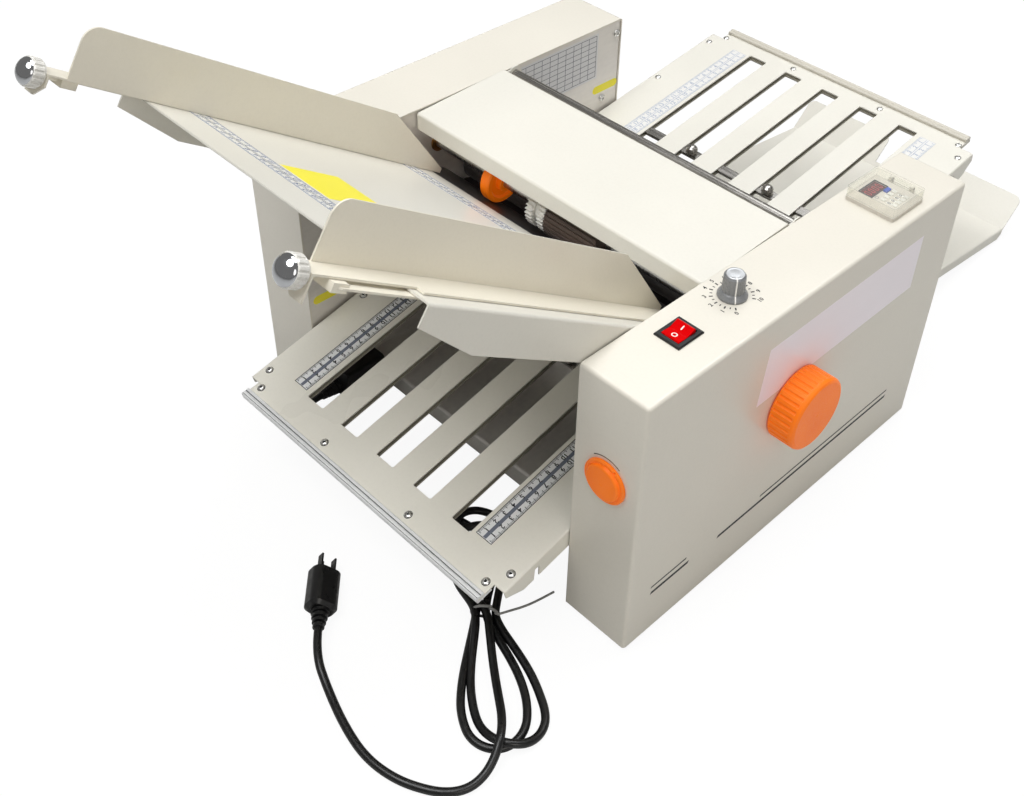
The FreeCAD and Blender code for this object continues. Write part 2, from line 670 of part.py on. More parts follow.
def clamp_strip(x):
    """Strip under the table with a block and stud, which the knob draws forward and up."""
    high = -TABLE_T - CLAMP_GAP
    x1 = x + GUIDE_T + GUIDE_FLANGE
    x0 = x1 - CLAMP_WIDTH
    low = high - GUIDE_T
    outline = [(x0, CLAMP_FRONT), (x1 - 6, CLAMP_FRONT), (x1, CLAMP_FRONT + 6),
               (x1, CLAMP_FRONT + CLAMP_LENGTH), (x0, CLAMP_FRONT + CLAMP_LENGTH)]
    strip = prism_z(outline, low, high)
    axis = GUIDE_LIFT + GUIDE_T - GUIDE_KNOB_DROP
    r = GUIDE_STUD_D / 2
    block = box(x + 3, x1 - 2, CLAMP_FRONT, CLAMP_FRONT + 12, axis - r - 2, 0)
    stud = cyl_y(x + ARM_WIDTH / 2, ARM_FRONT - GUIDE_KNOB_LENGTH, CLAMP_FRONT + 2, axis, r)
    return joined([strip, block, stud])


def guide_knob(x):
    """Knurled domed knob that turns on the clamp's stud against the guide's tab."""
    z = GUIDE_LIFT + GUIDE_T - GUIDE_KNOB_DROP
    y1 = ARM_FRONT - 0.3
    y0 = y1 - GUIDE_KNOB_LENGTH
    r = GUIDE_KNOB_D / 2
    profile = [(y0 - 4.6, 0), (y0 - 4.3, 3.2), (y0 - 3.3, 6.0), (y0 - 1.6, 8.2), (y0, r - 1.2),
               (y0 + 1.2, r), (y1 - 2.2, r), (y1 - 1.2, r - 1.5), (y1, r - 1.5), (y1, 0)]
    knob = revolve_y(profile, x + ARM_WIDTH / 2, z)
    for i in range(KNURLS):
        turn = 2 * math.pi * i / KNURLS
        cx = x + ARM_WIDTH / 2 + (r + 0.5) * math.cos(turn)
        cz = z + (r + 0.5) * math.sin(turn)
        knob = knob.cut(cyl_y(cx, y0 - 1, y1 - 2.2, cz, 1.2))
    return knob.cut(cyl_y(x + ARM_WIDTH / 2, y0, y1 + 1, z, GUIDE_STUD_D / 2 + 0.05))


# ---- fold trays ----------------------------------------------------------------------------------
def slot_cutters(start, length, z0, z1):
    """The row of long windows, each with small corner radii."""
    cutters = []
    for i in range(SLOT_COUNT):
        x = (i - (SLOT_COUNT - 1) / 2) * SLOT_PITCH
        cutter = box(x - SLOT_WIDTH / 2, x + SLOT_WIDTH / 2, start, length - SLOT_END, z0, z1)
        cutters.append(rounded(cutter, 1.5, Vector(0, 0, 1)))
    return group(cutters)


def tray_upper(length, start, notch, pins):
    """Top plate of a fold tray with its side flanges, outer edge at y = 0."""
    along = Vector(0, 1, 0)
    t = TRAY_T
    outside = box(-TRAY_HALF, TRAY_HALF, 0, length, -TRAY_FLANGE, 0)
    outside = rounded(outside, 2, along, lambda c: c.z > -1)
    inside = box(-TRAY_HALF + t, TRAY_HALF - t, -1, length + 1, -TRAY_FLANGE - 1, -t)
    inside = rounded(inside, 0.8, along, lambda c: c.z > -TRAY_FLANGE)
    plate = outside.cut(inside)
    for sign in (1, -1):
        x0, x1 = sorted((sign * (TRAY_HALF - notch), sign * HALF_GAP))
        plate = plate.cut(box(x0, x1, -1, TRAY_NOTCH_DEPTH, -TRAY_FLANGE - 1, 1))
    y0 = TRAY_NOTCH_DEPTH
    taper = [(y0 - 1, -TRAY_FLANGE_TIP), (y0, -TRAY_FLANGE_TIP), (y0 + TRAY_TAPER, -TRAY_FLANGE),
             (y0 + TRAY_TAPER, -TRAY_FLANGE - 1), (y0 - 1, -TRAY_FLANGE - 1)]
    plate = plate.cut(prism_x(taper, -HALF_GAP, HALF_GAP))
    hook = [(y0 + 28, -TRAY_FLANGE - 1), (y0 + 34, -TRAY_FLANGE - 1), (y0 + 37, -TRAY_FLANGE + 11),
            (y0 + 32, -TRAY_FLANGE + 11)]
    plate = plate.cut(prism_x(hook, -HALF_GAP, HALF_GAP))
    plate = plate.cut(slot_cutters(start, length, -t - 1, 1))
    for before_end in pins:
        at = (length - before_end, -TRAY_PIN_DROP)
        plate = plate.cut(cyl_x(-HALF_GAP, HALF_GAP, at, PIN_D / 2 + PIN_PLAY))
    return plate


def tray_lower(length, start):
    """Flat lower plate of a fold tray, held between the side flanges."""
    half = TRAY_HALF - TRAY_T
    high = -TRAY_T - TRAY_GAP
    y0 = TRAY_NOTCH_DEPTH + 2
    plate = box(-half, half, y0, length, high - TRAY_T, high)
    plate = plate.cut(slot_cutters(start, length, high - TRAY_T - 1, high + 1))
    return plate


def edge_bar(notch):
    """Aluminium extrusion that clasps the upper plate's outer edge, ribbed above and in front."""
    inner = EDGE_BAR_OVERLAP
    front = inner - EDGE_BAR_DEPTH
    rise = EDGE_BAR_RISE
    lip = -TRAY_T
    low = lip - EDGE_BAR_TONGUE_T
    groove = 0.6
    outline = [(0, lip), (0, 0), (inner, 0), (inner, rise - 0.8), (inner - 0.8, rise),
               (inner - 2.4, rise), (inner - 2.4 - groove, rise - groove),
               (inner - 3.8, rise - groove), (inner - 3.8 - groove, rise), (front + 0.9, rise),
               (front, rise - 0.9), (front, 0.6), (front + groove, 0), (front + groove, -0.6),
               (front, -1.2), (front, low + 0.8), (front + 0.8, low), (EDGE_BAR_TONGUE, low),
               (EDGE_BAR_TONGUE, lip)]
    half = TRAY_HALF - notch
    return prism_x(outline, -half, half)


def paper_stop(at):
    """Bar between the plates that sets the fold length, with two domed bosses in the windows."""
    half = TRAY_HALF - TRAY_T - 6
    high = -TRAY_T - STOP_PLAY
    low = -TRAY_T - TRAY_GAP + STOP_PLAY
    bar = box(-half, half, at - STOP_WIDTH / 2, at + STOP_WIDTH / 2, low, high)
    r = STOP_NUT_D / 2
    boss = [(low, 0), (low, r - 2), (TRAY_T * 0.6, r - 2), (TRAY_T * 0.6, r), (3.5, r), (5.6, r - 1.2),
            (7.0, r - 3.2), (7.5, 0)]
    for x in (-SLOT_PITCH, SLOT_PITCH):
        bar = bar.fuse(revolve_z(boss, x, at))
    return bar.removeSplitter()


def screw_heads(places, z):
    heads = []
    for x, y in places:
        r = SCREW_D / 2
        socket = SCREW_SOCKET_D / 2
        profile = [(z, 0), (z, r), (z + 0.7, r), (z + 1.3, r - 0.7), (z + SCREW_H, r - 1.6),
                   (z + SCREW_H, socket), (z + SCREW_H - 1.1, socket), (z + SCREW_H - 1.1, 0)]
        heads.append(revolve_z(profile, x, y))
    return heads


def tray_screw_places(side_screw):
    corner = TRAY_HALF - SCREW_CORNER
    row = [(x, SCREW_ROW) for x in (-corner, -TRAY_HALF / 3, TRAY_HALF / 3, corner)]
    x = TRAY_HALF - SCREW_SIDE
    sides = [(side, y) for side in (x, -x) for y in (TRAY_NOTCH_DEPTH + SCREW_ROW, side_screw)]
    return row + sides


def tray_screws():
    front = screw_heads(tray_screw_places(FRONT_SIDE_SCREW), 0)
    rear = screw_heads(tray_screw_places(REAR_SIDE_SCREW), 0)
    return group([on_front_tray(s) for s in front] + [on_rear_tray(s) for s in rear])


# ---- delivery tray -------------------------------------------------------------------------------
def delivery_tray():
    """Low tray behind the machine with two upturned tabs at its far end."""
    half = DELIVERY_WIDTH / 2
    t = DELIVERY_T
    outside = box(-half, half, 0, DELIVERY_LENGTH, -DELIVERY_FLANGE, 0)
    outside = rounded(outside, 2, Vector(0, 1, 0), lambda c: c.z > -1)
    inside = box(-half + t, half - t, t, DELIVERY_LENGTH + 1, -DELIVERY_FLANGE - 1, -t)
    tray = outside.cut(inside)
    clear = REAR_CHANNEL_DEPTH + 6
    tray = tray.cut(box(-half - 1, half + 1, t, clear, -DELIVERY_FLANGE - 1, -t))
    bevel = [(DELIVERY_LENGTH - 8, -DELIVERY_FLANGE - 1), (DELIVERY_LENGTH + 1, -DELIVERY_FLANGE - 1),
             (DELIVERY_LENGTH + 1, -DELIVERY_FLANGE + 6)]
    tray = tray.cut(prism_x(bevel, -half - 1, half + 1))
    fence = box(-half, half, 0, DELIVERY_FENCE, -t, 0)
    middle = half - FENCE_TAB
    fence = fence.cut(box(-middle, middle, 6, DELIVERY_FENCE + 1, -t - 1, 1))
    tips = edges_along(fence, Vector(0, 0, 1), lambda c: c.y > DELIVERY_FENCE - 1)
    fence = fence.makeFillet(FENCE_CORNER, tips)
    fence.rotate(Vector(0, 0, 0), Vector(1, 0, 0), DELIVERY_FENCE_TILT)
    fence.translate(Vector(0, DELIVERY_LENGTH, 0))
    knee = cyl_x(-half, half, (DELIVERY_LENGTH, -t / 2), t / 2)
    tray = joined([tray, fence, knee])
    return tilted(tray, -DELIVERY_SLOPE, DELIVERY_Y, BASE + DELIVERY_UP)


# ---- rollers, gears and drive --------------------------------------------------------------------
def gear_outline(teeth, module, at, x, phase):
    """Closed outline of a spur gear with straight-flanked teeth, four points per tooth."""
    root = module * (teeth / 2 - 1.2)
    tip = module * (teeth / 2 + 0.9)
    points = []
    for i in range(teeth):
        for share, radius in ((-0.29, root), (-0.12, tip), (0.12, tip), (0.29, root)):
            turn = 2 * math.pi * (i + share + phase) / teeth
            points.append(Vector(x, at[0] + radius * math.cos(turn), at[1] + radius * math.sin(turn)))
    return polygon_face(points)


def gear(teeth, module, at, x0, width, phase, bore):
    blank = gear_outline(teeth, module, at, x0, phase).extrude(Vector(width, 0, 0))
    return blank.cut(cyl_x(x0 - 1, x0 + width + 1, at, bore))


def mesh_phase(own_phase, own_teeth, angle, other_teeth):
    """Tooth phase of a gear whose teeth fall between those of its neighbour."""
    at_mesh = angle / 360 * own_teeth - own_phase
    return (angle + 180) / 360 * other_teeth + at_mesh + 0.5


def gear_phases():
    n = GEAR_TEETH
    infeed = mesh_phase(0.0, n, NIP_1_ANGLE, n)
    second = mesh_phase(0.0, n, NIP_2_ANGLE, n)
    last = mesh_phase(second, n, NIP_3_ANGLE, n)
    drive = mesh_phase(infeed, n, heading(ROLLER_1, FEED_SHAFT), DRIVE_TEETH)
    motor = mesh_phase(second, n, MOTOR_ANGLE, MOTOR_TEETH)
    return {"hand": 0.0, "infeed": infeed, "second": second, "exit": last, "drive": drive,
            "motor": motor}


def roller_shaft(at, right_end, left_end):
    shaft = cyl_x(-left_end, right_end, at, SHAFT_D / 2)
    return shaft.makeChamfer(0.5, [e for e in shaft.Edges if e.Curve.TypeId == "Part::GeomCircle"])


def fold_roller(at, right_end, left_end):
    """Ground steel fold roller turned in one piece with its journals."""
    half = PLATE_IN - ROLLER_END_GAP
    body = cyl_x(-half, half, at, ROLLER_D / 2)
    body = body.makeChamfer(0.6, [e for e in body.Edges if e.Curve.TypeId == "Part::GeomCircle"])
    return roller_shaft(at, right_end, left_end).fuse(body).removeSplitter()


def bushes():
    """Flanged bronze bushes pressed into both side plates."""
    pieces = []
    for at in SHAFTS:
        inner = PLATE_IN - BUSH_FLANGE_T
        profile = [(inner, BORE_R), (inner, BUSH_FLANGE_D / 2), (PLATE_IN, BUSH_FLANGE_D / 2),
                   (PLATE_IN, BUSH_D / 2), (PLATE_OUT, BUSH_D / 2), (PLATE_OUT, BORE_R)]
        right = revolve_x(profile, at)
        pieces += [right, mirrored(right)]
    return group(pieces)


def roller_gear(name):
    at = ROLLERS[name]
    return gear(GEAR_TEETH, GEAR_MODULE, at, GEAR_X, GEAR_WIDTH, gear_phases()[name], SHAFT_D / 2)


def feed_drive_gear():
    """Large gear on the feed shaft, driven by the infeed roller's gear."""
    wheel = gear(DRIVE_TEETH, GEAR_MODULE, FEED_SHAFT, GEAR_X, GEAR_WIDTH, gear_phases()["drive"],
                 SHAFT_D / 2)
    for turn in range(0, 360, 60):
        hole = cyl_x(GEAR_X - 1, GEAR_X + GEAR_WIDTH + 1, polar(FEED_SHAFT, turn, 21), 8)
        wheel = wheel.cut(hole)
    return wheel


def motor_gear():
    """Pinion turned in one piece with the motor's output shaft."""
    wheel = gear(MOTOR_TEETH, GEAR_MODULE, MOTOR, GEAR_X, GEAR_WIDTH, gear_phases()["motor"],
                 SHAFT_D / 2 - 1)
    shaft = cyl_x(GEAR_X, MOTOR_FACE + 8, MOTOR, SHAFT_D / 2)
    return joined([wheel, shaft])


def drive_motor():
    """Gear motor behind the right side plate on three cast legs."""
    x1 = MOTOR_FACE + MOTOR_LENGTH
    r = MOTOR_D / 2
    bore = SHAFT_D / 2 + RUNNING_FIT
    profile = [(MOTOR_FACE, bore), (MOTOR_FACE, r), (x1 - 3, r), (x1, r - 3), (x1, 0),
               (MOTOR_FACE + 9, 0), (MOTOR_FACE + 9, bore)]
    pieces = [revolve_x(profile, MOTOR)]
    for turn in (-100, 0, 100):
        at = polar(MOTOR, turn + MOTOR_ANGLE, r + 2)
        pieces.append(cyl_x(PLATE_OUT, MOTOR_FACE + 14, at, 4.5))
    return joined(pieces)


def hand_wheel():
    """Ribbed turning wheel on the end of the hand roller's shaft."""
    x0 = HALF_GAP + RIGHT_WIDTH + HAND_WHEEL_GAP
    x1 = x0 + HAND_WHEEL_DEPTH
    r = HAND_WHEEL_D / 2
    profile = [(x0, 0), (x0, r - 0.8), (x0 + 0.8, r), (x1 - 3.2, r), (x1 - 1.2, r - 0.9),
               (x1, r - 3.0), (x1, 0)]
    wheel = revolve_x(profile, ROLLER_2)
    for i in range(HAND_WHEEL_RIBS):
        turn = 360.0 * i / HAND_WHEEL_RIBS
        groove = cyl_x(x0 + 1.5, x1 - 4.5, polar(ROLLER_2, turn, r + 0.6), 1.7)
        wheel = wheel.cut(groove)
    hollow = cyl_x(x0 - 1, x1 - 5, ROLLER_2, r - 5).cut(cyl_x(x0 - 2, x1, ROLLER_2, 11))
    wheel = wheel.cut(hollow)
    return wheel.cut(cyl_x(x0 - 1, x1 - 6, ROLLER_2, SHAFT_D / 2))


# ---- feed shaft ----------------------------------------------------------------------------------
def feed_wheel():
    """Dished hub wheel with a rubber-like tread face."""
    x0 = FEED_WHEEL_X
    x1 = x0 + FEED_WHEEL_WIDTH
    r = FEED_WHEEL_D / 2 - RUNNING_GAP
    profile = [(x0, SHAFT_D / 2), (x0, r - 1.5), (x0 + 1.5, r), (x1 - 1.5, r), (x1, r - 1.5),
               (x1, r - 5), (x1 - 2.5, r - 6.5), (x1 - 2.5, 9), (x1 + 3, 8.5), (x1 + 3, SHAFT_D / 2)]
    return revolve_x(profile, FEED_SHAFT)


def feed_gear():
    """Nylon gear with two toothed rims and a plain waist between them."""
    x0 = FEED_GEAR_X
    rim = FEED_GEAR_WIDTH * 0.36
    pieces = [gear(FEED_GEAR_TEETH, FEED_GEAR_MODULE, FEED_SHAFT, x, rim, 0, SHAFT_D / 2)
              for x in (x0, x0 + FEED_GEAR_WIDTH - rim)]
    waist_r = FEED_GEAR_MODULE * FEED_GEAR_TEETH / 2 - 4.0
    waist = cyl_x(x0 + rim, x0 + FEED_GEAR_WIDTH - rim, FEED_SHAFT, waist_r)
    waist = waist.cut(cyl_x(x0, x0 + FEED_GEAR_WIDTH, FEED_SHAFT, SHAFT_D / 2))
    return joined([pieces[0], waist, pieces[1]])


def feed_roller():
    """Ribbed rubber feed roller."""
    r = FEED_ROLLER_D / 2 - RUNNING_GAP
    x0 = FEED_ROLLER_X - FEED_ROLLER_LENGTH / 2
    points = []
    for i in range(FEED_ROLLER_RIBS):
        for share, radius in ((0.0, r), (0.55, r), (0.7, r - 1.3), (0.85, r - 1.3)):
            turn = 2 * math.pi * (i + share) / FEED_ROLLER_RIBS
            y = FEED_SHAFT[0] + radius * math.cos(turn)
            points.append(Vector(x0, y, FEED_SHAFT[1] + radius * math.sin(turn)))
    roller = polygon_face(points).extrude(Vector(FEED_ROLLER_LENGTH, 0, 0))
    return roller.cut(cyl_x(x0 - 1, x0 + FEED_ROLLER_LENGTH + 1, FEED_SHAFT, SHAFT_D / 2))


def infeed_plate():
    """Sheet that carries the paper from the table's end to the first nip."""
    t = TABLE_T
    y0 = FEED_LENGTH + INFEED_GAP
    half = PLATE_IN
    low = -t - INFEED_STEP
    sheet = box(-half, half, y0, y0 + INFEED_REACH, low, -INFEED_STEP)
    for x0, x1 in ((-half, -half + t), (half - t, half)):
        sheet = sheet.fuse(box(x0, x1, y0, y0 + INFEED_FLANGE_REACH, low - INFEED_FLANGE, low))
    sheet = on_feed(sheet.removeSplitter())
    half_x = SEPARATOR_SIZE / 2 + RUNNING_GAP
    half_y = SEPARATOR_DEPTH / 2 + RUNNING_GAP
    return sheet.cut(box(SEPARATOR_X - half_x, SEPARATOR_X + half_x, SEPARATOR_Y - half_y,
                         SEPARATOR_Y + half_y, BASE, TOP))


def separator():
    """Shoe under the feed wheel, cast in one piece with its lifting rod."""
    at = (SEPARATOR_Y, SEPARATOR_Z)
    rod = cyl_x(SEPARATOR_X - 10, THICKNESS[0] + CAM_D / 2, at, SEPARATOR_ROD_D / 2)
    half_x = SEPARATOR_SIZE / 2
    half_y = SEPARATOR_DEPTH / 2
    post = box(SEPARATOR_X - half_x, SEPARATOR_X + half_x, SEPARATOR_Y - half_y, SEPARATOR_Y + half_y,
               SEPARATOR_Z, TOP)
    waist = box(SEPARATOR_X - half_x - 1, SEPARATOR_X + half_x + 1, SEPARATOR_Y - half_y - 1,
                SEPARATOR_Y - 5, SEPARATOR_Z - 1, SEPARATOR_Z + 22)
    waist = waist.fuse(waist.mirror(Vector(0, SEPARATOR_Y, 0), Vector(0, 1, 0)))
    above = on_feed(box(-HALF_GAP, HALF_GAP, 0, 2 * FEED_LENGTH, -SEPARATOR_REST, 3 * SEPARATOR_SIZE))
    return joined([rod, post.cut(above).cut(waist)])


# ---- controls ------------------------------------------------------------------------------------
def thickness_knob():
    """Flat front knob: a rim ring around a raised disc with two pointer notches."""
    r = THICKNESS_D / 2
    profile = [(-0.3, 0), (-0.3, r), (-2.3, r), (-2.9, r - 0.6), (-2.9, r - 2.8), (-2.3, r - 3.2),
               (-4.9, r - 4.0), (-5.5, r - 5.0), (-5.8, 0)]
    knob = revolve_y(profile, THICKNESS[0], THICKNESS[1])
    for turn in (60, 240):
        x = THICKNESS[0] + (r - 1.2) * math.cos(math.radians(turn))
        z = THICKNESS[1] + (r - 1.2) * math.sin(math.radians(turn))
        knob = knob.cut(cyl_y(x, -4, -1.8, z, 1.3))
    return knob


def thickness_shaft():
    """Shaft behind the knob with the eccentric that lifts the separator rod."""
    x, z = THICKNESS
    shaft = cyl_y(x, -0.3, SEPARATOR_Y + 12, z, THICKNESS_SHAFT_D / 2)
    cam = cyl_y(x, SEPARATOR_Y - 9, SEPARATOR_Y + 9, z - CAM_THROW, CAM_D / 2)
    return joined([shaft, cam])


def rocker_housing():
    """Black snap-in switch body with its bezel."""
    x = HALF_GAP + ROCKER_X
    bezel = box(x - BEZEL_X / 2, x + BEZEL_X / 2, ROCKER_Y - BEZEL_Y / 2, ROCKER_Y + BEZEL_Y / 2,
                TOP, TOP + BEZEL_H)
    bezel = bezel.makeChamfer(0.8, [e for e in bezel.Edges if e.CenterOfMass.z > TOP + BEZEL_H - 0.01])
    inner_x = BEZEL_X / 2 - 2.3
    inner_y = BEZEL_Y / 2 - 2.3
    body = box(x - inner_x, x + inner_x, ROCKER_Y - inner_y, ROCKER_Y + inner_y, TOP - 22, TOP)
    well = box(x - inner_x + 1.2, x + inner_x - 1.2, ROCKER_Y - inner_y + 1.2, ROCKER_Y + inner_y - 1.2,
               TOP - 12, TOP + BEZEL_H + 1)
    pivot = cyl_x(x - inner_x - 1, x + inner_x + 1, (ROCKER_Y, ROCKER_AXIS_Z), 1.5 + RUNNING_FIT)
    return joined([bezel, body]).cut(well).cut(pivot)


def rocker():
    """Red rocker key with a shallow V top, at rest with its front end down."""
    x = HALF_GAP + ROCKER_X
    half_x = BEZEL_X / 2 - 2.3 - 1.2 - 0.35
    half_y = BEZEL_Y / 2 - 2.3 - 1.2 - 1.2
    profile = [(-half_y, 5.2), (-half_y * 0.9, 6.0), (0, 4.0), (half_y * 0.9, 6.0), (half_y, 5.2),
               (half_y * 0.72, -4.5), (-half_y * 0.72, -4.5)]
    key = prism_x([(ROCKER_Y + y, ROCKER_AXIS_Z + z) for y, z in profile], x - half_x, x + half_x)
    key.rotate(Vector(x, ROCKER_Y, ROCKER_AXIS_Z), Vector(1, 0, 0), ROCKER_TILT)
    reach = BEZEL_X / 2 - 2.3 - 0.2
    return joined([key, cyl_x(x - reach, x + reach, (ROCKER_Y, ROCKER_AXIS_Z), 1.5)])


def speed_knob():
    """Skirted knob: fluted cap on a wide skirt, with its spindle."""
    x = HALF_GAP + DIAL_X
    z0 = TOP + RUNNING_GAP
    r = DIAL_CAP_D / 2
    skirt = DIAL_SKIRT_D / 2
    profile = [(z0, 0), (z0, skirt), (z0 + 1.6, skirt), (z0 + 4.6, r + 0.9), (z0 + 5.4, r),
               (z0 + DIAL_H - 1.6, r - 0.5), (z0 + DIAL_H, r - 1.8), (z0 + DIAL_H, 0)]
    knob = revolve_z(profile, x, DIAL_Y)
    for i in range(DIAL_FLUTES):
        turn = 2 * math.pi * (i + 0.5) / DIAL_FLUTES
        knob = knob.cut(cyl_z(x + (r + 0.5) * math.cos(turn), DIAL_Y + (r + 0.5) * math.sin(turn),
                              z0 + 5.4, z0 + DIAL_H + 1, 1.1))
    spindle = cyl_z(x, DIAL_Y, TOP - 9, z0 + 1, SPINDLE_D / 2)
    return joined([knob, spindle])


def counter_well(across, along, width, length, bottom):
    """Block through the counter's face at a place measured from its middle."""
    x = HALF_GAP + COUNTER_X + across
    y = COUNTER_Y + along
    return box(x - width / 2, x + width / 2, y - length / 2, y + length / 2, bottom,
               TOP + COUNTER_BEZEL_H + 1)


def counter_body():
    """Panel counter: bezel on the top sheet and its case below."""
    x = HALF_GAP + COUNTER_X
    half_x = COUNTER_SIZE_X / 2
    half_y = COUNTER_SIZE_Y / 2
    bezel = box(x - half_x, x + half_x, COUNTER_Y - half_y, COUNTER_Y + half_y, TOP,
                TOP + COUNTER_BEZEL_H)
    bezel = rounded(bezel, 2, Vector(0, 0, 1))
    hole = COUNTER_SIZE_Y / 2 - 4.3
    case = box(x - hole, x + hole, COUNTER_Y - hole, COUNTER_Y + hole, TOP - 38, TOP + 1)
    face = TOP + COUNTER_BEZEL_H
    window = box(x + WINDOW_X[0], x + WINDOW_X[1], COUNTER_Y + WINDOW_Y[0], COUNTER_Y + WINDOW_Y[1],
                 face - 0.8, face + 1)
    pocket = counter_well(BUTTON_X, BUTTON_Y, BUTTON_WIDTH + 0.5, BUTTON_LENGTH + 0.5, TOP - 3)
    wells = [window, pocket]
    for i in range(DIGIT_COUNT):
        wells.append(counter_well(DIGIT_X, DIGIT_Y + i * DIGIT_PITCH, DIGIT_WIDTH, DIGIT_LENGTH, face - 0.6))
    pieces = [bezel, case]
    rear = COUNTER_Y + half_y
    for x0 in (x - 12, x + 9):
        pieces.append(box(x0, x0 + 3, rear - 1, COUNTER_HINGE[0] + 2, TOP, TOP + COUNTER_BEZEL_H))
        pieces.append(box(x0, x0 + 3, rear + SEAM, COUNTER_HINGE[0] + 2, TOP, COUNTER_HINGE[1]))
        pieces.append(cyl_x(x0, x0 + 3, COUNTER_HINGE, 2.0))
    body = joined(pieces).cut(group(wells))
    return body.cut(cyl_x(x - 13, x + 13, COUNTER_HINGE, 1.0 + RUNNING_FIT))


def counter_button():
    """Oblong reset key, rounded at its corners and along its top."""
    x = HALF_GAP + COUNTER_X + BUTTON_X
    y = COUNTER_Y + BUTTON_Y
    high = TOP + 5.0
    key = box(x - BUTTON_WIDTH / 2, x + BUTTON_WIDTH / 2, y - BUTTON_LENGTH / 2, y + BUTTON_LENGTH / 2,
              TOP - 1.2, high)
    key = rounded(key, 0.5, Vector(0, 0, 1))
    return key.makeChamfer(0.4, [e for e in key.Edges if e.CenterOfMass.z > high - 0.01])


def counter_lid():
    """Clear flip-up dust cover over the counter, with its hinge knuckle at the rear."""
    x = HALF_GAP + COUNTER_X
    half_x = COUNTER_SIZE_X / 2
    half_y = COUNTER_SIZE_Y / 2
    z0 = TOP + COUNTER_BEZEL_H + RUNNING_GAP
    z1 = TOP + COUNTER_LID_H
    outside = box(x - half_x, x + half_x, COUNTER_Y - half_y, COUNTER_Y + half_y, z0, z1)
    outside = rounded(outside, 2.2, Vector(0, 0, 1))
    inside = box(x - half_x + LID_WALL, x + half_x - LID_WALL, COUNTER_Y - half_y + LID_WALL,
                 COUNTER_Y + half_y - LID_WALL, z0 - 1, z1 - LID_WALL)
    lid = outside.cut(inside)
    knuckle = cyl_x(x - 8.6, x + 8.6, COUNTER_HINGE, 2.0)
    neck = box(x - 8.6, x + 8.6, COUNTER_Y + half_y - 0.5, COUNTER_HINGE[0], COUNTER_HINGE[1],
               COUNTER_HINGE[1] + 2)
    pin = cyl_x(x - 11.8, x + 11.8, COUNTER_HINGE, 1.0)
    return joined([lid, knuckle, neck, pin])


# ---- mains inlet and cord ------------------------------------------------------------------------
def mains_inlet():
    """Moulded inlet box low on the left side plate, its cord outlet facing the front."""
    x0 = -PLATE_IN
    z0 = BASE + INLET_UP
    body = box(x0, x0 + INLET_DEPTH, INLET_Y, INLET_Y + INLET_LENGTH, z0, z0 + INLET_HEIGHT)
    body = rounded(body, 3, Vector(0, 1, 0), lambda c: c.x > x0 + 1)
    return joined([body, boot_rings()])


def boot_rings():
    """Tapered, grooved strain relief straight out of the inlet box."""
    steps = 4
    y = INLET_Y + 0.5
    pitch = (BOOT_LENGTH + 0.5) / steps
    profile = [(y, 0)]
    for i in range(steps):
        r = 7.4 - i * 0.75
        step = y - pitch * 0.66
        profile += [(y, r), (step, r - 0.4), (step, r - 1.4), (y - pitch, r - 1.5)]
        y -= pitch
    profile.append((y, 0))
    return revolve_y(profile, BOOT_X, BOOT_Z)


# Route of the cord's centre line; z is height above the surface the machine stands on.
LEAD_ROUTE = [
    (BOOT_X, BOOT_TIP_Y, BOOT_Z), (BOOT_X, -25.0, BOOT_Z), (-151.0, -41.0, 12.5), (-134.0, -51.0, 6.5),
    (-104.0, -51.0, 3.5), (-60.0, -41.0, 3.5), (-14.0, -27.0, 3.5), (20.0, -10.0, 3.5),
    (50.0, -2.0, 3.5),
]
TAIL_ROUTE = [
    (228.5, -130.0, 15.0), (236.5, -147.0, 10.0), (235.0, -168.0, 4.5), (220.0, -190.0, 3.5),
    (196.0, -205.0, 3.5), (166.0, -209.0, 3.5), (134.0, -204.0, 3.5), (100.0, -194.0, 4.5),
]
HANK_OUTLINE = [
    (128.0, -66.0), (143.0, -86.0), (162.0, -113.0), (175.0, -127.0), (187.0, -135.5),
    (200.0, -139.5), (212.0, -140.5), (223.0, -138.5), (234.0, -133.0), (243.0, -123.0),
    (246.0, -109.0), (242.5, -96.5), (232.5, -82.5), (218.5, -73.0), (200.0, -65.8),
    (174.0, -58.6), (141.0, -49.5), (134.0, -46.0), (122.0, -33.0), (108.0, -15.0),
    (94.0, 4.0), (80.0, 18.0), (67.0, 24.5), (55.0, 22.0), (47.0, 11.0), (45.0, -6.0),
    (51.0, -26.0), (66.0, -44.0), (86.0, -57.0), (106.0, -63.0),
]
HANK_HEIGHT = 19.5
HANK_SIDE = 3.5             # height over which the hank's lower edge is rounded
HANK_TAPER = 6.0            # height of its sloping upper edge
TIE_AT = (132.0, -57.0)
TIE_ANGLE = -52.0           # direction across the hank's waist
TIE_REACH = 23.4
TIE_INSIDE = 13.4           # clear height inside the tie's ring
TIE_NOTCH = 12.0            # length of hank that the ring draws together
TIE_WIDTH = 5.0
TIE_T = 1.2
PLUG_NECK = (54.0, -168.0)
PLUG_HEADING = 138.0        # degrees from +X towards +Y
PLUG_ROLL = 38.0
PLUG_WIDTH = 26.0
PLUG_DEPTH = 21.0
PLUG_EDGE = 8.0
PLUG_LENGTH = 38.0
NECK_LENGTH = 17.0
NECK_RUN = 24.0
BLADE_LENGTH = 15.9
BLADE_T = 1.5
BLADE_WIDTH = 6.35
BLADE_PITCH = 12.7
EARTH_D = 4.75
EARTH_OFFSET = 11.9
EARTH_LENGTH = 17.5


def plug_height():
    """Height of the plug's axis when it lies on its rolled, rounded side."""
    turn = math.radians(PLUG_ROLL)
    across = PLUG_WIDTH / 2 - PLUG_EDGE
    through = PLUG_DEPTH / 2 - PLUG_EDGE
    return across * math.sin(turn) + through * math.cos(turn) + PLUG_EDGE


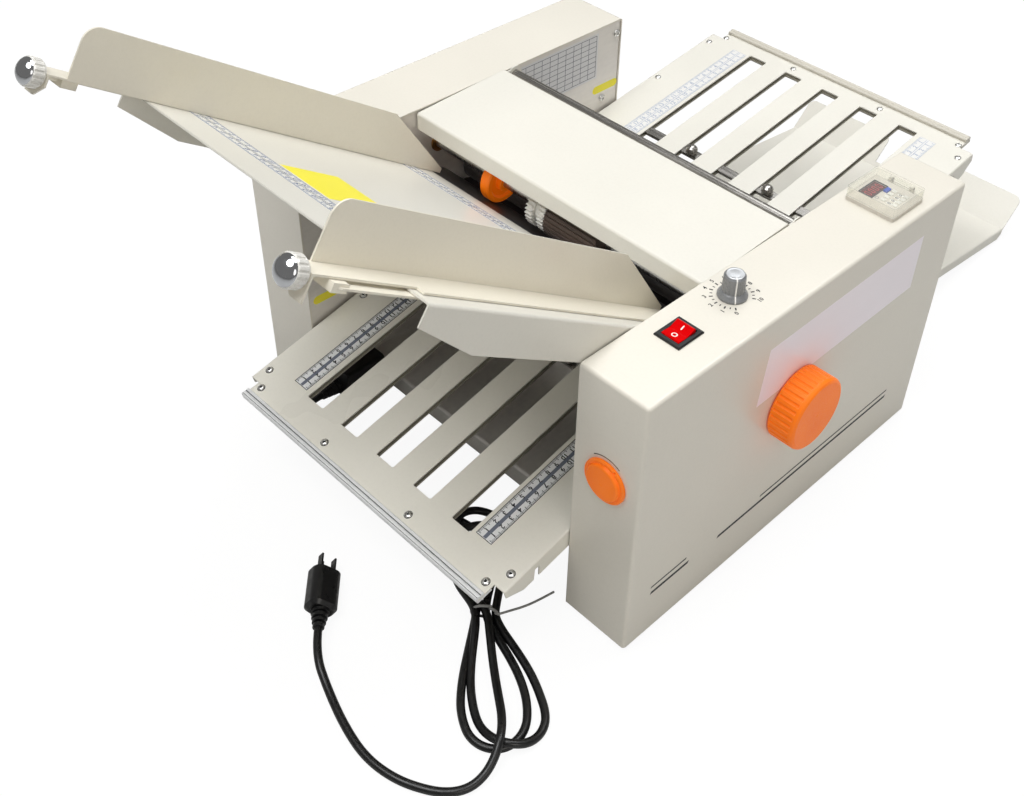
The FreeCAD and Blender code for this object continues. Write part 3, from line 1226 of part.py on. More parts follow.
def tail_points():
    """Tail route with its last run laid straight along the plug's axis."""
    turn = math.radians(PLUG_HEADING)
    x = PLUG_NECK[0] - NECK_RUN * math.cos(turn)
    y = PLUG_NECK[1] - NECK_RUN * math.sin(turn)
    z = plug_height()
    return TAIL_ROUTE + [(x, y, z), (PLUG_NECK[0], PLUG_NECK[1], z)]


def route_tube(points, radius):
    """Round tube along straight runs joined by tangent arcs."""
    knots = [Vector(*p) for p in points]
    edges = []
    radii = []
    start = knots[0]
    for i in range(1, len(knots) - 1):
        back = knots[i - 1] - knots[i]
        ahead = knots[i + 1] - knots[i]
        run = min(back.Length, ahead.Length)
        back.normalize()
        ahead.normalize()
        trim = 0.45 * run
        turn = math.pi - back.getAngle(ahead)
        radii.append(trim / math.tan(turn / 2))
        first = knots[i] + back * trim
        last = knots[i] + ahead * trim
        middle = back + ahead
        middle.normalize()
        sagitta = radii[-1] / math.cos(turn / 2) - radii[-1]
        edges.append(Part.LineSegment(start, first).toShape())
        edges.append(Part.Arc(first, knots[i] + middle * sagitta, last).toShape())
        start = last
    edges.append(Part.LineSegment(start, knots[-1]).toShape())
    spine = Part.Wire(edges)
    section = Part.Wire([Part.makeCircle(radius, knots[0], knots[1] - knots[0])])
    tube = spine.makePipeShell([section], True, True)
    ratio = tube.Volume / (math.pi * radius ** 2 * spine.Length)
    print("cord run: length %.1f, radii %s, volume ratio %.4f" % (
        spine.Length, [round(r, 1) for r in radii], ratio))
    return tube


def inset(points, distance):
    """Outline of (x, y) points, run anticlockwise, moved inwards by a distance."""
    moved = []
    count = len(points)
    for i in range(count):
        a = Vector(points[i - 1][0], points[i - 1][1], 0)
        b = Vector(points[i][0], points[i][1], 0)
        c = Vector(points[(i + 1) % count][0], points[(i + 1) % count][1], 0)
        first = (b - a).normalize()
        second = (c - b).normalize()
        inward = Vector(-first.y - second.y, first.x + second.x, 0).normalize()
        share = inward.dot(Vector(-first.y, first.x, 0))
        at = b + inward * (distance / share)
        moved.append((at.x, at.y))
    return moved


def faced(body, point, direction, width):
    """Cut a flat across a body at a point, square to a direction that leads out of it."""
    cutter = Part.makeBox(width, width, width, Vector(-width / 2, -width / 2, 0))
    cutter.Placement = FreeCAD.Placement(Vector(*point), FreeCAD.Rotation(Vector(0, 0, 1), direction))
    return body.cut(cutter)


def outward(route, end, inner):
    return Vector(*route[inner]) - Vector(*route[end])


def mains_cord_lead():
    return route_tube(LEAD_ROUTE, CORD_D / 2)


def mains_cord_tail():
    return route_tube(tail_points(), CORD_D / 2)


def tie_frame(shape):
    """Place a piece drawn across the X axis at the hank's waist."""
    shape.rotate(Vector(0, 0, 0), Vector(0, 0, 1), TIE_ANGLE + 90)
    shape.translate(Vector(TIE_AT[0], TIE_AT[1], 0))
    return shape


def mains_cord_hank():
    """Outer shape of the tied hank: two flat lobes on either side of a narrow waist."""
    wires = []
    for z, distance in ((0.0, 2.0), (HANK_SIDE, 0.0), (HANK_HEIGHT - HANK_TAPER, 0.0),
                        (HANK_HEIGHT, 3.5)):
        points = [Vector(x, y, z) for x, y in inset(HANK_OUTLINE, distance)]
        wires.append(Part.makePolygon(points + [points[0]]))
    body = Part.makeLoft(wires, True, True)
    body = faced(body, LEAD_ROUTE[-1], outward(LEAD_ROUTE, -1, -2), 24.0)
    body = faced(body, TAIL_ROUTE[0], outward(TAIL_ROUTE, 0, 1), 24.0)
    ring = box(-40, 40, -TIE_WIDTH / 2, TIE_WIDTH / 2, -1, HANK_HEIGHT + 1)
    inner = box(-TIE_REACH / 2 + TIE_T, TIE_REACH / 2 - TIE_T, -TIE_WIDTH, TIE_WIDTH, TIE_T, TIE_INSIDE)
    half = TIE_NOTCH / 2
    notch = box(-40, 40, -half, half, TIE_INSIDE, HANK_HEIGHT + 1)
    return body.cut(tie_frame(ring.cut(inner))).cut(tie_frame(notch)).cut(tie_frame(tie_twist()))


def cord_tie():
    """Plastic-coated wire tie around the hank's waist, its twisted end on top."""
    half = TIE_REACH / 2
    ring = box(-half, half, -TIE_WIDTH / 2, TIE_WIDTH / 2, 0, TIE_INSIDE + TIE_T)
    ring = rounded(ring, 2, Vector(0, 1, 0))
    inner = box(-half + TIE_T, half - TIE_T, -TIE_WIDTH, TIE_WIDTH, TIE_T, TIE_INSIDE)
    return tie_frame(joined([ring.cut(inner), tie_twist()]))


def tie_twist():
    """Twisted pair of wire ends that stands off the ring."""
    start = Vector(0, 0, TIE_INSIDE)
    end = Vector(22, 36, 15.5)
    direction = end - start
    rod = Part.makeCylinder(1.3, direction.Length, start, direction)
    return rod


def plug_frame(shape):
    """Place a piece drawn along +X from the neck, rolled about its own axis."""
    shape.rotate(Vector(0, 0, 0), Vector(1, 0, 0), PLUG_ROLL)
    shape.rotate(Vector(0, 0, 0), Vector(0, 0, 1), PLUG_HEADING)
    shape.translate(Vector(PLUG_NECK[0], PLUG_NECK[1], plug_height()))
    return shape


def mains_plug():
    """Moulded three-pin plug: ribbed neck, rounded grip, two flat blades and an earth pin."""
    x = NECK_LENGTH
    body = box(x, x + PLUG_LENGTH, -PLUG_WIDTH / 2, PLUG_WIDTH / 2, -PLUG_DEPTH / 2, PLUG_DEPTH / 2)
    body = rounded(body, PLUG_EDGE, Vector(1, 0, 0))
    body = body.makeChamfer(3.0, [e for e in body.Edges if e.CenterOfMass.x < x + 0.01])
    profile = [(0, 0), (0, CORD_D / 2 + 0.8)]
    steps = 4
    pitch = (NECK_LENGTH + 1) / steps
    for i in range(steps):
        r = CORD_D / 2 + 1.4 + 0.9 * i
        profile += [(pitch * i + 0.4, r), (pitch * (i + 0.7), r), (pitch * (i + 0.7), r - 1.2),
                    (pitch * (i + 1), r - 1.2)]
    profile += [(pitch * steps, 0)]
    body = joined([body, revolve_x(profile, (0, 0))])
    face = x + PLUG_LENGTH
    pieces = [body]
    for y in (-BLADE_PITCH / 2, BLADE_PITCH / 2):
        pieces.append(box(face, face + BLADE_LENGTH, y - BLADE_T / 2, y + BLADE_T / 2,
                          2.5 - BLADE_WIDTH / 2, 2.5 + BLADE_WIDTH / 2))
    pieces.append(cyl_x(face, face + EARTH_LENGTH, (0, 2.5 - EARTH_OFFSET / 1.2), EARTH_D / 2))
    return group([plug_frame(piece) for piece in pieces])


# ---- all nodes -----------------------------------------------------------------------------------
def frame_nodes():
    return {
        "right_side_plate": right_side_plate(),
        "left_side_plate": left_side_plate(),
        "right_housing_cover": right_housing_cover(),
        "left_housing_cover": left_housing_cover(),
        "rubber_feet": rubber_feet(),
        "front_channel": front_channel(),
        "rear_channel": rear_channel(),
        "top_tie_rod": top_tie_rod(),
        "roller_bushes": bushes(),
        "top_cover": top_cover(),
        "hook_studs": hook_studs(),
    }


def tray_nodes():
    upper_front = tray_upper(FRONT_TRAY_LENGTH, FRONT_SLOT_START, FRONT_NOTCH, FRONT_TRAY_PINS)
    upper_rear = tray_upper(REAR_TRAY_LENGTH, REAR_SLOT_START, REAR_NOTCH, REAR_TRAY_PINS)
    return {
        "front_tray_upper": on_front_tray(upper_front),
        "front_tray_lower": on_front_tray(tray_lower(FRONT_TRAY_LENGTH, FRONT_SLOT_START)),
        "front_edge_bar": on_front_tray(edge_bar(FRONT_NOTCH)),
        "front_paper_stop": on_front_tray(paper_stop(FRONT_TRAY_LENGTH - FRONT_STOP_INSET)),
        "rear_tray_upper": on_rear_tray(upper_rear),
        "rear_tray_lower": on_rear_tray(tray_lower(REAR_TRAY_LENGTH, REAR_SLOT_START)),
        "rear_edge_bar": on_rear_tray(edge_bar(REAR_NOTCH)),
        "rear_paper_stop": on_rear_tray(paper_stop(REAR_TRAY_LENGTH - REAR_STOP_INSET)),
        "tray_screws": tray_screws(),
        "delivery_tray": delivery_tray(),
    }


def drive_nodes():
    nodes = {
        "hand_wheel": hand_wheel(),
        "drive_motor": drive_motor(),
        "motor_gear": motor_gear(),
        "feed_shaft": roller_shaft(FEED_SHAFT, SHAFT_END, LEFT_END),
        "feed_drive_gear": feed_drive_gear(),
        "feed_wheel": feed_wheel(),
        "feed_gear": feed_gear(),
        "feed_roller": feed_roller(),
        "infeed_plate": infeed_plate(),
        "separator": separator(),
    }
    for name, at in ROLLERS.items():
        right_end = HAND_SHAFT_END if name == "hand" else SHAFT_END
        nodes[name + "_roller"] = fold_roller(at, right_end, LEFT_END)
        nodes[name + "_roller_gear"] = roller_gear(name)
    return nodes


def table_nodes():
    nodes = {"feed_table": feed_table()}
    for side, x in (("right", GUIDE_RIGHT_X), ("left", GUIDE_LEFT_X)):
        pieces = {"side_guide_": guide(x), "guide_clamp_": clamp_strip(x), "guide_knob_": guide_knob(x)}
        for name, shape in pieces.items():
            placed = shape if side == "right" else mirrored(shape)
            nodes[name + side] = on_feed(placed)
    return nodes


def control_nodes():
    return {
        "thickness_knob": thickness_knob(),
        "thickness_shaft": thickness_shaft(),
        "rocker_housing": rocker_housing(),
        "rocker": rocker(),
        "speed_knob": speed_knob(),
        "counter_body": counter_body(),
        "counter_button": counter_button(),
        "counter_lid": counter_lid(),
    }


def cord_nodes():
    return {
        "mains_cord_lead": mains_cord_lead(),
        "mains_cord_hank": mains_cord_hank(),
        "mains_cord_tail": mains_cord_tail(),
        "cord_tie": cord_tie(),
        "mains_plug": mains_plug(),
    }


def box_of(nodes):
    bounds = FreeCAD.BoundBox()
    for shape in nodes.values():
        bounds.add(shape.optimalBoundingBox(False))
    return bounds


def build():
    """All pieces, moved so that the origin is the bottom centre of the machine's box."""
    machine = {}
    for family in (frame_nodes, tray_nodes, drive_nodes, table_nodes, control_nodes):
        machine.update(family())
    machine["mains_inlet"] = mains_inlet()
    bounds = box_of(machine)
    shift = Vector(-(bounds.XMin + bounds.XMax) / 2, -(bounds.YMin + bounds.YMax) / 2, -bounds.ZMin)
    print("origin shift: %.3f %.3f %.3f" % (shift.x, shift.y, shift.z))
    print("machine size: %.1f %.1f %.1f" % (bounds.XLength, bounds.YLength, bounds.ZLength))
    machine.update(cord_nodes())
    for shape in machine.values():
        shape.translate(shift)
    return machine


def main():
    os.makedirs("parts", exist_ok=True)
    for name, shape in build().items():
        shape.exportStep("parts/" + name + ".step")


if __name__ == "__main__":
    main()
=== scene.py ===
import json
import math

import bmesh
import bpy
from mathutils import Matrix, Vector


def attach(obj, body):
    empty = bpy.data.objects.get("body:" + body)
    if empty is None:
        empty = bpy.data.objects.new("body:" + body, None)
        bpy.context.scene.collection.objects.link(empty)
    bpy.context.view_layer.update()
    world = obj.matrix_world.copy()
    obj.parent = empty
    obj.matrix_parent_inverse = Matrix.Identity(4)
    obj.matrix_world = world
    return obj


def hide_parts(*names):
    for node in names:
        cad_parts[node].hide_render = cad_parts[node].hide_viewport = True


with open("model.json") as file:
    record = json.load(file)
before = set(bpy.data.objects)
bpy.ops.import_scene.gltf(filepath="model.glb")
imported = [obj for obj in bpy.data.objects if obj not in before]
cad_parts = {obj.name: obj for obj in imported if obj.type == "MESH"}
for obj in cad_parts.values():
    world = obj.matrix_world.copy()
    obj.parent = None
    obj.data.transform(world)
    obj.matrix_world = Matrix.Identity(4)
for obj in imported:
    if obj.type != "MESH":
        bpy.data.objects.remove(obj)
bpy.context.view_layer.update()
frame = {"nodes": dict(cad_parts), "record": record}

# ---- frame: millimetres from the middle of the paper path, shifted to the part's origin ------------
SHIFT_X = 10.3
SHIFT_Y = 284.2466
MM = 0.001

# Faces of the machine that carry prints.
TOP = 276.0
RIGHT_OUTER = 236.0
PLATE_LEFT = -171.0

# Slopes of the table and trays, and each outer edge as (y, z).
FEED_SLOPE = math.radians(34.0)
FEED_EDGE = (-132.3, 403.5)
FRONT_SLOPE = math.radians(14.0)
FRONT_EDGE = (-87.0, 74.0)
REAR_SLOPE = math.radians(8.7)
REAR_EDGE = (585.5, 208.0)

CORD_D = 7.0
# Thickness of a film and of ink.
STICKER = 0.12
INK = 0.05


def at(x, y, z):
    """Place in the scene, in metres, of a point in the part's millimetres."""
    return Vector(((x - SHIFT_X) * MM, (y - SHIFT_Y) * MM, z * MM))


def add_object(name, data):
    """New object in the scene around its mesh, curve, lamp or camera."""
    obj = bpy.data.objects.new(name, data)
    bpy.context.scene.collection.objects.link(obj)
    return obj


# ---- camera --------------------------------------------------------------------------------------
CAMERA_AT = (0.60385, -0.77793, 0.87635)
CAMERA_AZIMUTH = math.radians(42.69)
CAMERA_ELEVATION = math.radians(39.14)
CAMERA_ROLL = math.radians(2.96)
FOCAL_PIXELS = 1266.24
IMAGE_WIDTH = 1024.0
IMAGE_HEIGHT = 796.0
PRINCIPAL_X = 571.56
PRINCIPAL_Y = 296.7
SENSOR = 36.0


def add_camera():
    """The photo's fitted camera."""
    data = bpy.data.cameras.new("view_camera")
    data.sensor_width = SENSOR
    data.sensor_fit = "HORIZONTAL"
    data.lens = FOCAL_PIXELS / IMAGE_WIDTH * SENSOR
    data.shift_x = (IMAGE_WIDTH / 2 - PRINCIPAL_X) / IMAGE_WIDTH
    data.shift_y = (PRINCIPAL_Y - IMAGE_HEIGHT / 2) / IMAGE_WIDTH
    data.clip_start = 0.01
    data.clip_end = 50.0
    back = Vector((math.sin(CAMERA_AZIMUTH) * math.cos(CAMERA_ELEVATION),
                   -math.cos(CAMERA_AZIMUTH) * math.cos(CAMERA_ELEVATION),
                   math.sin(CAMERA_ELEVATION)))
    right = Vector((0.0, 0.0, 1.0)).cross(back).normalized()
    up = back.cross(right)
    turn = Matrix.Rotation(CAMERA_ROLL, 3, back)
    right = turn @ right
    up = turn @ up
    camera = add_object("view_camera", data)
    camera.matrix_world = Matrix((
        (right.x, up.x, back.x, CAMERA_AT[0]), (right.y, up.y, back.y, CAMERA_AT[1]),
        (right.z, up.z, back.z, CAMERA_AT[2]), (0.0, 0.0, 0.0, 1.0)))
    bpy.context.scene.camera = camera


# ---- node material helpers -----------------------------------------------------------------------
def srgb(r, g, b):
    """Linear colour of an 0-255 display colour."""
    def channel(value):
        value /= 255.0
        return value / 12.92 if value <= 0.04045 else ((value + 0.055) / 1.055) ** 2.4
    return (channel(r), channel(g), channel(b), 1.0)


class Shader:
    """One node material around a Principled shader."""

    def __init__(self, name):
        self.material = bpy.data.materials.new(name)
        self.material.use_nodes = True
        self.tree = self.material.node_tree
        self.tree.nodes.clear()
        self.output = self.tree.nodes.new("ShaderNodeOutputMaterial")
        self.main = self.node("ShaderNodeBsdfPrincipled")
        self.link(self.main, "BSDF", self.output, "Surface")

    def node(self, kind, **values):
        """New node with its properties set."""
        made = self.tree.nodes.new(kind)
        for key, value in values.items():
            setattr(made, key, value)
        return made

    def link(self, a, out, b, into):
        """Join an output of one node to an input of another."""
        self.tree.links.new(a.outputs[out], b.inputs[into])

    def put(self, **values):
        """Plain values on the Principled shader."""
        for key, value in values.items():
            self.main.inputs[key.replace("_", " ")].default_value = value

    def place(self, stretch=(1.0, 1.0, 1.0)):
        """Object coordinates in metres, stretched."""
        source = self.node("ShaderNodeTexCoord")
        mapping = self.node("ShaderNodeMapping")
        mapping.inputs["Scale"].default_value = stretch
        self.link(source, "Object", mapping, "Vector")
        return mapping

    def noise(self, scale, detail=3.0, stretch=(1.0, 1.0, 1.0)):
        """Noise over the object's own coordinates."""
        texture = self.node("ShaderNodeTexNoise")
        texture.inputs["Scale"].default_value = scale
        texture.inputs["Detail"].default_value = detail
        self.link(self.place(stretch), "Vector", texture, "Vector")
        return texture

    def ramp(self, source, out, stops):
        """Colour ramp over (position, colour) stops."""
        made = self.node("ShaderNodeValToRGB")
        elements = made.color_ramp.elements
        while len(elements) < len(stops):
            elements.new(0.5)
        for element, (position, colour) in zip(elements, stops):
            element.position = position
            element.color = colour
        self.link(source, out, made, "Fac")
        return made

    def spread(self, source, out, low, high):
        """A 0-1 value turned into low-high."""
        made = self.node("ShaderNodeMapRange")
        made.inputs["From Min"].default_value = 0.3
        made.inputs["From Max"].default_value = 0.7
        made.inputs["To Min"].default_value = low
        made.inputs["To Max"].default_value = high
        self.link(source, out, made, "Value")
        return made

    def mix(self, factor, a, b):
        """Mix of two colours; each of the three is a (node, output) pair or a plain value."""
        made = self.node("ShaderNodeMix", data_type="RGBA")
        for value, socket in ((factor, 0), (a, 6), (b, 7)):
            if isinstance(value, tuple) and hasattr(value[0], "outputs"):
                self.tree.links.new(value[0].outputs[value[1]], made.inputs[socket])
            else:
                made.inputs[socket].default_value = value
        return made

    def blend(self, share, above, out):
        """Lay another shader over the main one by a 0-1 share."""
        made = self.node("ShaderNodeMixShader")
        self.link(share, "Value", made, "Fac")
        self.link(self.main, "BSDF", made, 1)
        self.link(above, out, made, 2)
        self.link(made, "Shader", self.output, "Surface")

    def bumps(self, layers, edge=0.0):
        """Chained bumps of (node, output, strength, distance) over an optional rounded edge."""
        last = None
        if edge:
            last = self.node("ShaderNodeBevel", samples=4)
            last.inputs["Radius"].default_value = edge
        for source, out, strength, distance in layers:
            bump = self.node("ShaderNodeBump")
            bump.inputs["Strength"].default_value = strength
            bump.inputs["Distance"].default_value = distance
            self.link(source, out, bump, "Height")
            if last:
                self.link(last, "Normal", bump, "Normal")
            last = bump
        if last:
            self.link(last, "Normal", self.main, "Normal")

    def edge_mask(self, radius, low=0.04, high=0.3):
        """Bright where the surface turns sharply within the radius."""
        bevel = self.node("ShaderNodeBevel", samples=4)
        bevel.inputs["Radius"].default_value = radius
        geometry = self.node("ShaderNodeNewGeometry")
        dot = self.node("ShaderNodeVectorMath", operation="DOT_PRODUCT")
        self.link(bevel, "Normal", dot, 0)
        self.link(geometry, "True Normal", dot, 1)
        made = self.node("ShaderNodeMapRange")
        made.inputs["From Min"].default_value = 1.0 - low
        made.inputs["From Max"].default_value = 1.0 - high
        self.link(dot, "Value", made, "Value")
        return made


def scaled(colour, factor):
    """The colour made darker or lighter."""
    return tuple(min(1.0, c * factor) for c in colour[:3]) + (1.0,)


def powder_coat(name, colour, roughness=0.42, wear=0.5):
    """Stoved powder paint: orange peel, faint clouding, handled and rubbed edges."""
    s = Shader(name)
    cloud = s.noise(7.0, 3.0)
    fine = s.noise(420.0, 2.0)
    peel = s.noise(900.0, 2.0)
    base = s.ramp(cloud, "Fac", [(0.30, scaled(colour, 0.955)), (0.70, scaled(colour, 1.02))])
    speck = s.ramp(fine, "Fac", [(0.30, scaled(colour, 0.94)), (0.55, colour)])
    tint = s.mix(0.30, (base, "Color"), (speck, "Color"))
    edge = s.edge_mask(0.0012)
    worn = s.noise(60.0, 4.0)
    share = s.node("ShaderNodeMath", operation="MULTIPLY")
    s.link(edge, "Result", share, 0)
    s.link(s.spread(worn, "Fac", 0.0, wear), "Result", share, 1)
    final = s.mix((share, "Value"), (tint, 2), scaled(colour, 0.72))
    s.link(final, 2, s.main, "Base Color")
    s.link(s.spread(cloud, "Fac", roughness - 0.05, roughness + 0.06), "Result", s.main, "Roughness")
    s.bumps([(peel, "Fac", 0.10, 0.0003), (fine, "Fac", 0.05, 0.0003)], edge=0.0008)
    s.put(Specular_IOR_Level=0.5, Coat_Weight=0.22, Coat_Roughness=0.2)
    return s.material


def moulded(name, colour, roughness=0.35, grain=700.0, depth=0.12, coat=0.0, sheen=0.0, gloss=0.5):
    """Moulded plastic with a fine eroded grain, slight marbling and edges painted paler as a highlight."""
    s = Shader(name)
    flow = s.noise(45.0, 4.0)
    grit = s.noise(grain, 3.0)
    base = s.ramp(flow, "Fac", [(0.30, scaled(colour, 0.88)), (0.70, scaled(colour, 1.07))])
    # Painted highlight: the colour turns paler near sharp edges.
    edge = s.edge_mask(0.0007)
    final = s.mix((edge, "Result"), (base, "Color"), scaled(colour, 1.22))
    s.link(final, 2, s.main, "Base Color")
    s.link(s.spread(grit, "Fac", roughness - 0.06, roughness + 0.08), "Result", s.main, "Roughness")
    s.bumps([(grit, "Fac", depth, 0.0002)], edge=0.0005)
    s.put(Coat_Weight=coat, Sheen_Weight=sheen, Specular_IOR_Level=gloss)
    return s.material


def metal(name, colour, roughness=0.3, stretch=(1.0, 1.0, 1.0), scale=600.0, contrast=0.14, edge=0.0004,
          metallic=1.0):
    """Metal with drawn or brushed streaks along the unstretched axis."""
    s = Shader(name)
    streak = s.noise(scale, 3.0, stretch)
    cloud = s.noise(25.0, 3.0)
    base = s.ramp(streak, "Fac", [(0.30, scaled(colour, 1.0 - contrast)), (0.70, scaled(colour, 1.05))])
    dull = s.ramp(cloud, "Fac", [(0.35, scaled(colour, 0.92)), (0.65, colour)])
    s.link(s.mix(0.35, (base, "Color"), (dull, "Color")), 2, s.main, "Base Color")
    s.link(s.spread(streak, "Fac", roughness - 0.06, roughness + 0.1), "Result", s.main, "Roughness")
    s.bumps([(streak, "Fac", 0.04, 0.0001)], edge=edge)
    s.put(Metallic=metallic)
    return s.material


def zinc_plate(name, colour):
    """Bright zinc plated sheet: soft spangle and rolling lines."""
    s = Shader(name)
    spangle = s.node("ShaderNodeTexVoronoi")
    spangle.inputs["Scale"].default_value = 160.0
    s.link(s.place((1.0, 1.0, 1.4)), "Vector", spangle, "Vector")
    lines = s.noise(260.0, 2.0, (1.0, 0.05, 1.0))
    base = s.ramp(spangle, "Distance", [(0.0, scaled(colour, 0.94)), (0.8, scaled(colour, 1.04))])
    rolled = s.ramp(lines, "Fac", [(0.3, scaled(colour, 0.93)), (0.7, colour)])
    s.link(s.mix(0.5, (base, "Color"), (rolled, "Color")), 2, s.main, "Base Color")
    s.link(s.spread(spangle, "Distance", 0.30, 0.44), "Result", s.main, "Roughness")
    s.bumps([(lines, "Fac", 0.05, 0.0001)], edge=0.0005)
    s.put(Metallic=0.45)
    return s.material


def rubber(name, colour, roughness=0.62, scale=500.0):
    """Ground roller rubber: dull, slightly streaked round its girth."""
    s = Shader(name)
    ground = s.noise(scale, 4.0, (2.0, 0.6, 0.6))
    cloud = s.noise(30.0, 3.0)
    base = s.ramp(ground, "Fac", [(0.3, scaled(colour, 0.80)), (0.7, scaled(colour, 1.10))])
    dust = s.ramp(cloud, "Fac", [(0.40, colour), (0.75, scaled(colour, 1.35))])
    s.link(s.mix(0.35, (base, "Color"), (dust, "Color")), 2, s.main, "Base Color")
    s.link(s.spread(ground, "Fac", roughness - 0.08, roughness + 0.1), "Result", s.main, "Roughness")
    s.bumps([(ground, "Fac", 0.25, 0.0003)], edge=0.0005)
    s.put(Sheen_Weight=0.15)
    return s.material


def orange_grip(name, colour):
    """Soft orange moulding: satin, with painted highlights on its ribs' crests, a painted glow and faint
    flow marks.
    """
    s = Shader(name)
    flow = s.noise(38.0, 4.0)
    grit = s.noise(850.0, 3.0)
    base = s.ramp(flow, "Fac", [(0.30, scaled(colour, 0.88)), (0.70, scaled(colour, 1.06))])
    # Painted highlight: paler orange near edges and on the ribs' crests.
    edge = s.edge_mask(0.0012)
    s.link(s.mix((edge, "Result"), (base, "Color"), srgb(255, 158, 84)), 2, s.main, "Base Color")
    s.link(s.spread(grit, "Fac", 0.36, 0.52), "Result", s.main, "Roughness")
    s.bumps([(grit, "Fac", 0.16, 0.0002)], edge=0.0007)
    # Painted glow: the moulding gives out a little light in its own colour.
    s.link(base, "Color", s.main, "Emission Color")
    s.put(Emission_Strength=0.18, Coat_Weight=0.05, Coat_Roughness=0.3, Specular_IOR_Level=0.35)
    return s.material


def clear(name, colour, roughness=0.05):
    """Thin clear moulding: see-through, glossy at a slant, with faint scuffs and edges painted darker as
    shade.
    """
    s = Shader(name)
    scuff = s.noise(240.0, 4.0, (1.0, 0.2, 1.0))
    s.link(s.spread(scuff, "Fac", roughness, roughness + 0.08), "Result", s.main, "Roughness")
    tint = s.ramp(scuff, "Fac", [(0.3, scaled(colour, 0.985)), (0.7, colour)])
    # Painted shade: near sharp edges the colour turns darker grey.
    edge = s.edge_mask(0.0007)
    s.link(s.mix((edge, "Result"), (tint, "Color"), srgb(150, 145, 136)), 2, s.main, "Base Color")
    through = s.node("ShaderNodeBsdfTransparent")
    s.link(tint, "Color", through, "Color")
    slant = s.node("ShaderNodeLayerWeight")
    slant.inputs["Blend"].default_value = 0.3
    share = s.node("ShaderNodeMath", operation="MULTIPLY_ADD", use_clamp=True)
    share.inputs[1].default_value = 0.2
    s.link(slant, "Facing", share, 0)
    # Painted shade: near sharp edges the moulding turns more solid, so its darker edge colour shows.
    rim = s.node("ShaderNodeMath", operation="MULTIPLY_ADD", use_clamp=True)
    rim.inputs[1].default_value = 0.65
    rim.inputs[2].default_value = 0.015
    s.link(edge, "Result", rim, 0)
    s.link(rim, "Value", share, 2)
    blend = s.node("ShaderNodeMixShader")
    s.link(share, "Value", blend, "Fac")
    s.tree.links.new(through.outputs["BSDF"], blend.inputs[1])
    s.tree.links.new(s.main.outputs["BSDF"], blend.inputs[2])
    s.link(blend, "Shader", s.output, "Surface")
    return s.material


def printed(name, colour, roughness=0.45):
    """Printed film: flat ink with the paper's faint tooth."""
    s = Shader(name)
    patchy = s.noise(25.0, 1.0)
    base = s.mix((patchy, "Fac"), scaled(colour, 0.97), scaled(colour, 1.02))
    s.link(base, 2, s.main, "Base Color")
    s.link(s.spread(patchy, "Fac", roughness - 0.01, roughness + 0.01), "Result", s.main, "Roughness")
    return s.material


def cord_jacket(name, colour):
    """Extruded vinyl jacket: smooth sheen with faint drawn lines and scuffs."""
    s = Shader(name)
    scuff = s.noise(180.0, 4.0)
    fine = s.noise(1100.0, 2.0)
    base = s.ramp(scuff, "Fac", [(0.35, scaled(colour, 0.8)), (0.75, scaled(colour, 1.15))])
    s.link(base, "Color", s.main, "Base Color")
    s.link(s.spread(scuff, "Fac", 0.26, 0.42), "Result", s.main, "Roughness")
    s.bumps([(fine, "Fac", 0.08, 0.0001)])
    s.put(Specular_IOR_Level=0.5, Coat_Weight=0.1, Coat_Roughness=0.3)
    return s.material


IVORY = srgb(228, 223, 211)
MATERIALS = {
    "housing_paint": powder_coat("housing_powder_coat", IVORY, 0.34),
    "tray_paint": powder_coat("tray_powder_coat", srgb(228, 225, 215), 0.33, 0.6),
    "guide_paint": powder_coat("guide_powder_coat", srgb(238, 232, 216), 0.36, 0.6),
    "zinc": zinc_plate("zinc_plated_sheet", srgb(228, 224, 219)),
    "steel": metal("turned_steel", srgb(190, 190, 189), 0.30, (1.0, 0.08, 0.08), 900.0, 0.06),
    "chrome": metal("ground_steel_rod", srgb(176, 173, 168), 0.24, (0.05, 1.0, 1.0), 300.0, 0.05),
    "aluminium": metal("extruded_aluminium", srgb(246, 247, 248), 0.30, (0.03, 1.0, 1.0), 120.0, 0.015,
                       metallic=0.12),
    "bronze": metal("sintered_bronze", srgb(168, 126, 74), 0.42, (1.0, 1.0, 1.0), 1200.0, 0.2),
    "foot_rubber": rubber("foot_rubber", srgb(38, 38, 40), 0.7),
    "orange_rubber": orange_grip("orange_moulding_painted_glow", srgb(255, 120, 6)),
    "brown_rubber": rubber("roller_rubber", srgb(78, 62, 52), 0.5),
    "white_nylon": moulded("white_nylon", srgb(246, 244, 238), 0.38, 500.0, 0.06),
    "black_plastic": moulded("black_moulding", srgb(16, 16, 18), 0.34, 900.0, 0.1),
    "ivory_plastic": moulded("ivory_moulding", srgb(212, 206, 196), 0.34, 700.0, 0.08),
    "grey_plastic": moulded("grey_moulding", srgb(128, 130, 132), 0.30, 800.0, 0.06, 0.3),
    "red_plastic": moulded("red_rocker_moulding", srgb(206, 4, 8), 0.09, 300.0, 0.02, gloss=0.06),
    "blue_plastic": moulded("blue_button_moulding", srgb(30, 74, 190), 0.25, 500.0, 0.05, 0.3),
    "clear_plastic": clear("clear_lid_moulding", srgb(253, 253, 251)),
    "motor_black": moulded("motor_enamel", srgb(34, 34, 36), 0.45, 260.0, 0.25),
    "cord_black": cord_jacket("cord_vinyl", srgb(14, 14, 15)),
}
# Painted light: a lighter copy of the tray paint for the front tray, standing in for the light that falls
# on it.
FRONT_TRAY_PAINTED_LIGHT = powder_coat("front_tray_coat_painted_light", srgb(246, 243, 232), 0.30, 0.6)
# Painted shade: a darker copy of the tray paint for the trays' lower sheets.
LOWER_TRAY_PAINTED_SHADE = powder_coat("lower_tray_coat_painted_shade", srgb(158, 153, 140), 0.4, 0.6)
# Painted shade for the edge bar's grooves and edge.
SLOT_SHADE = printed("groove_painted_shade", srgb(92, 92, 96), 0.5)
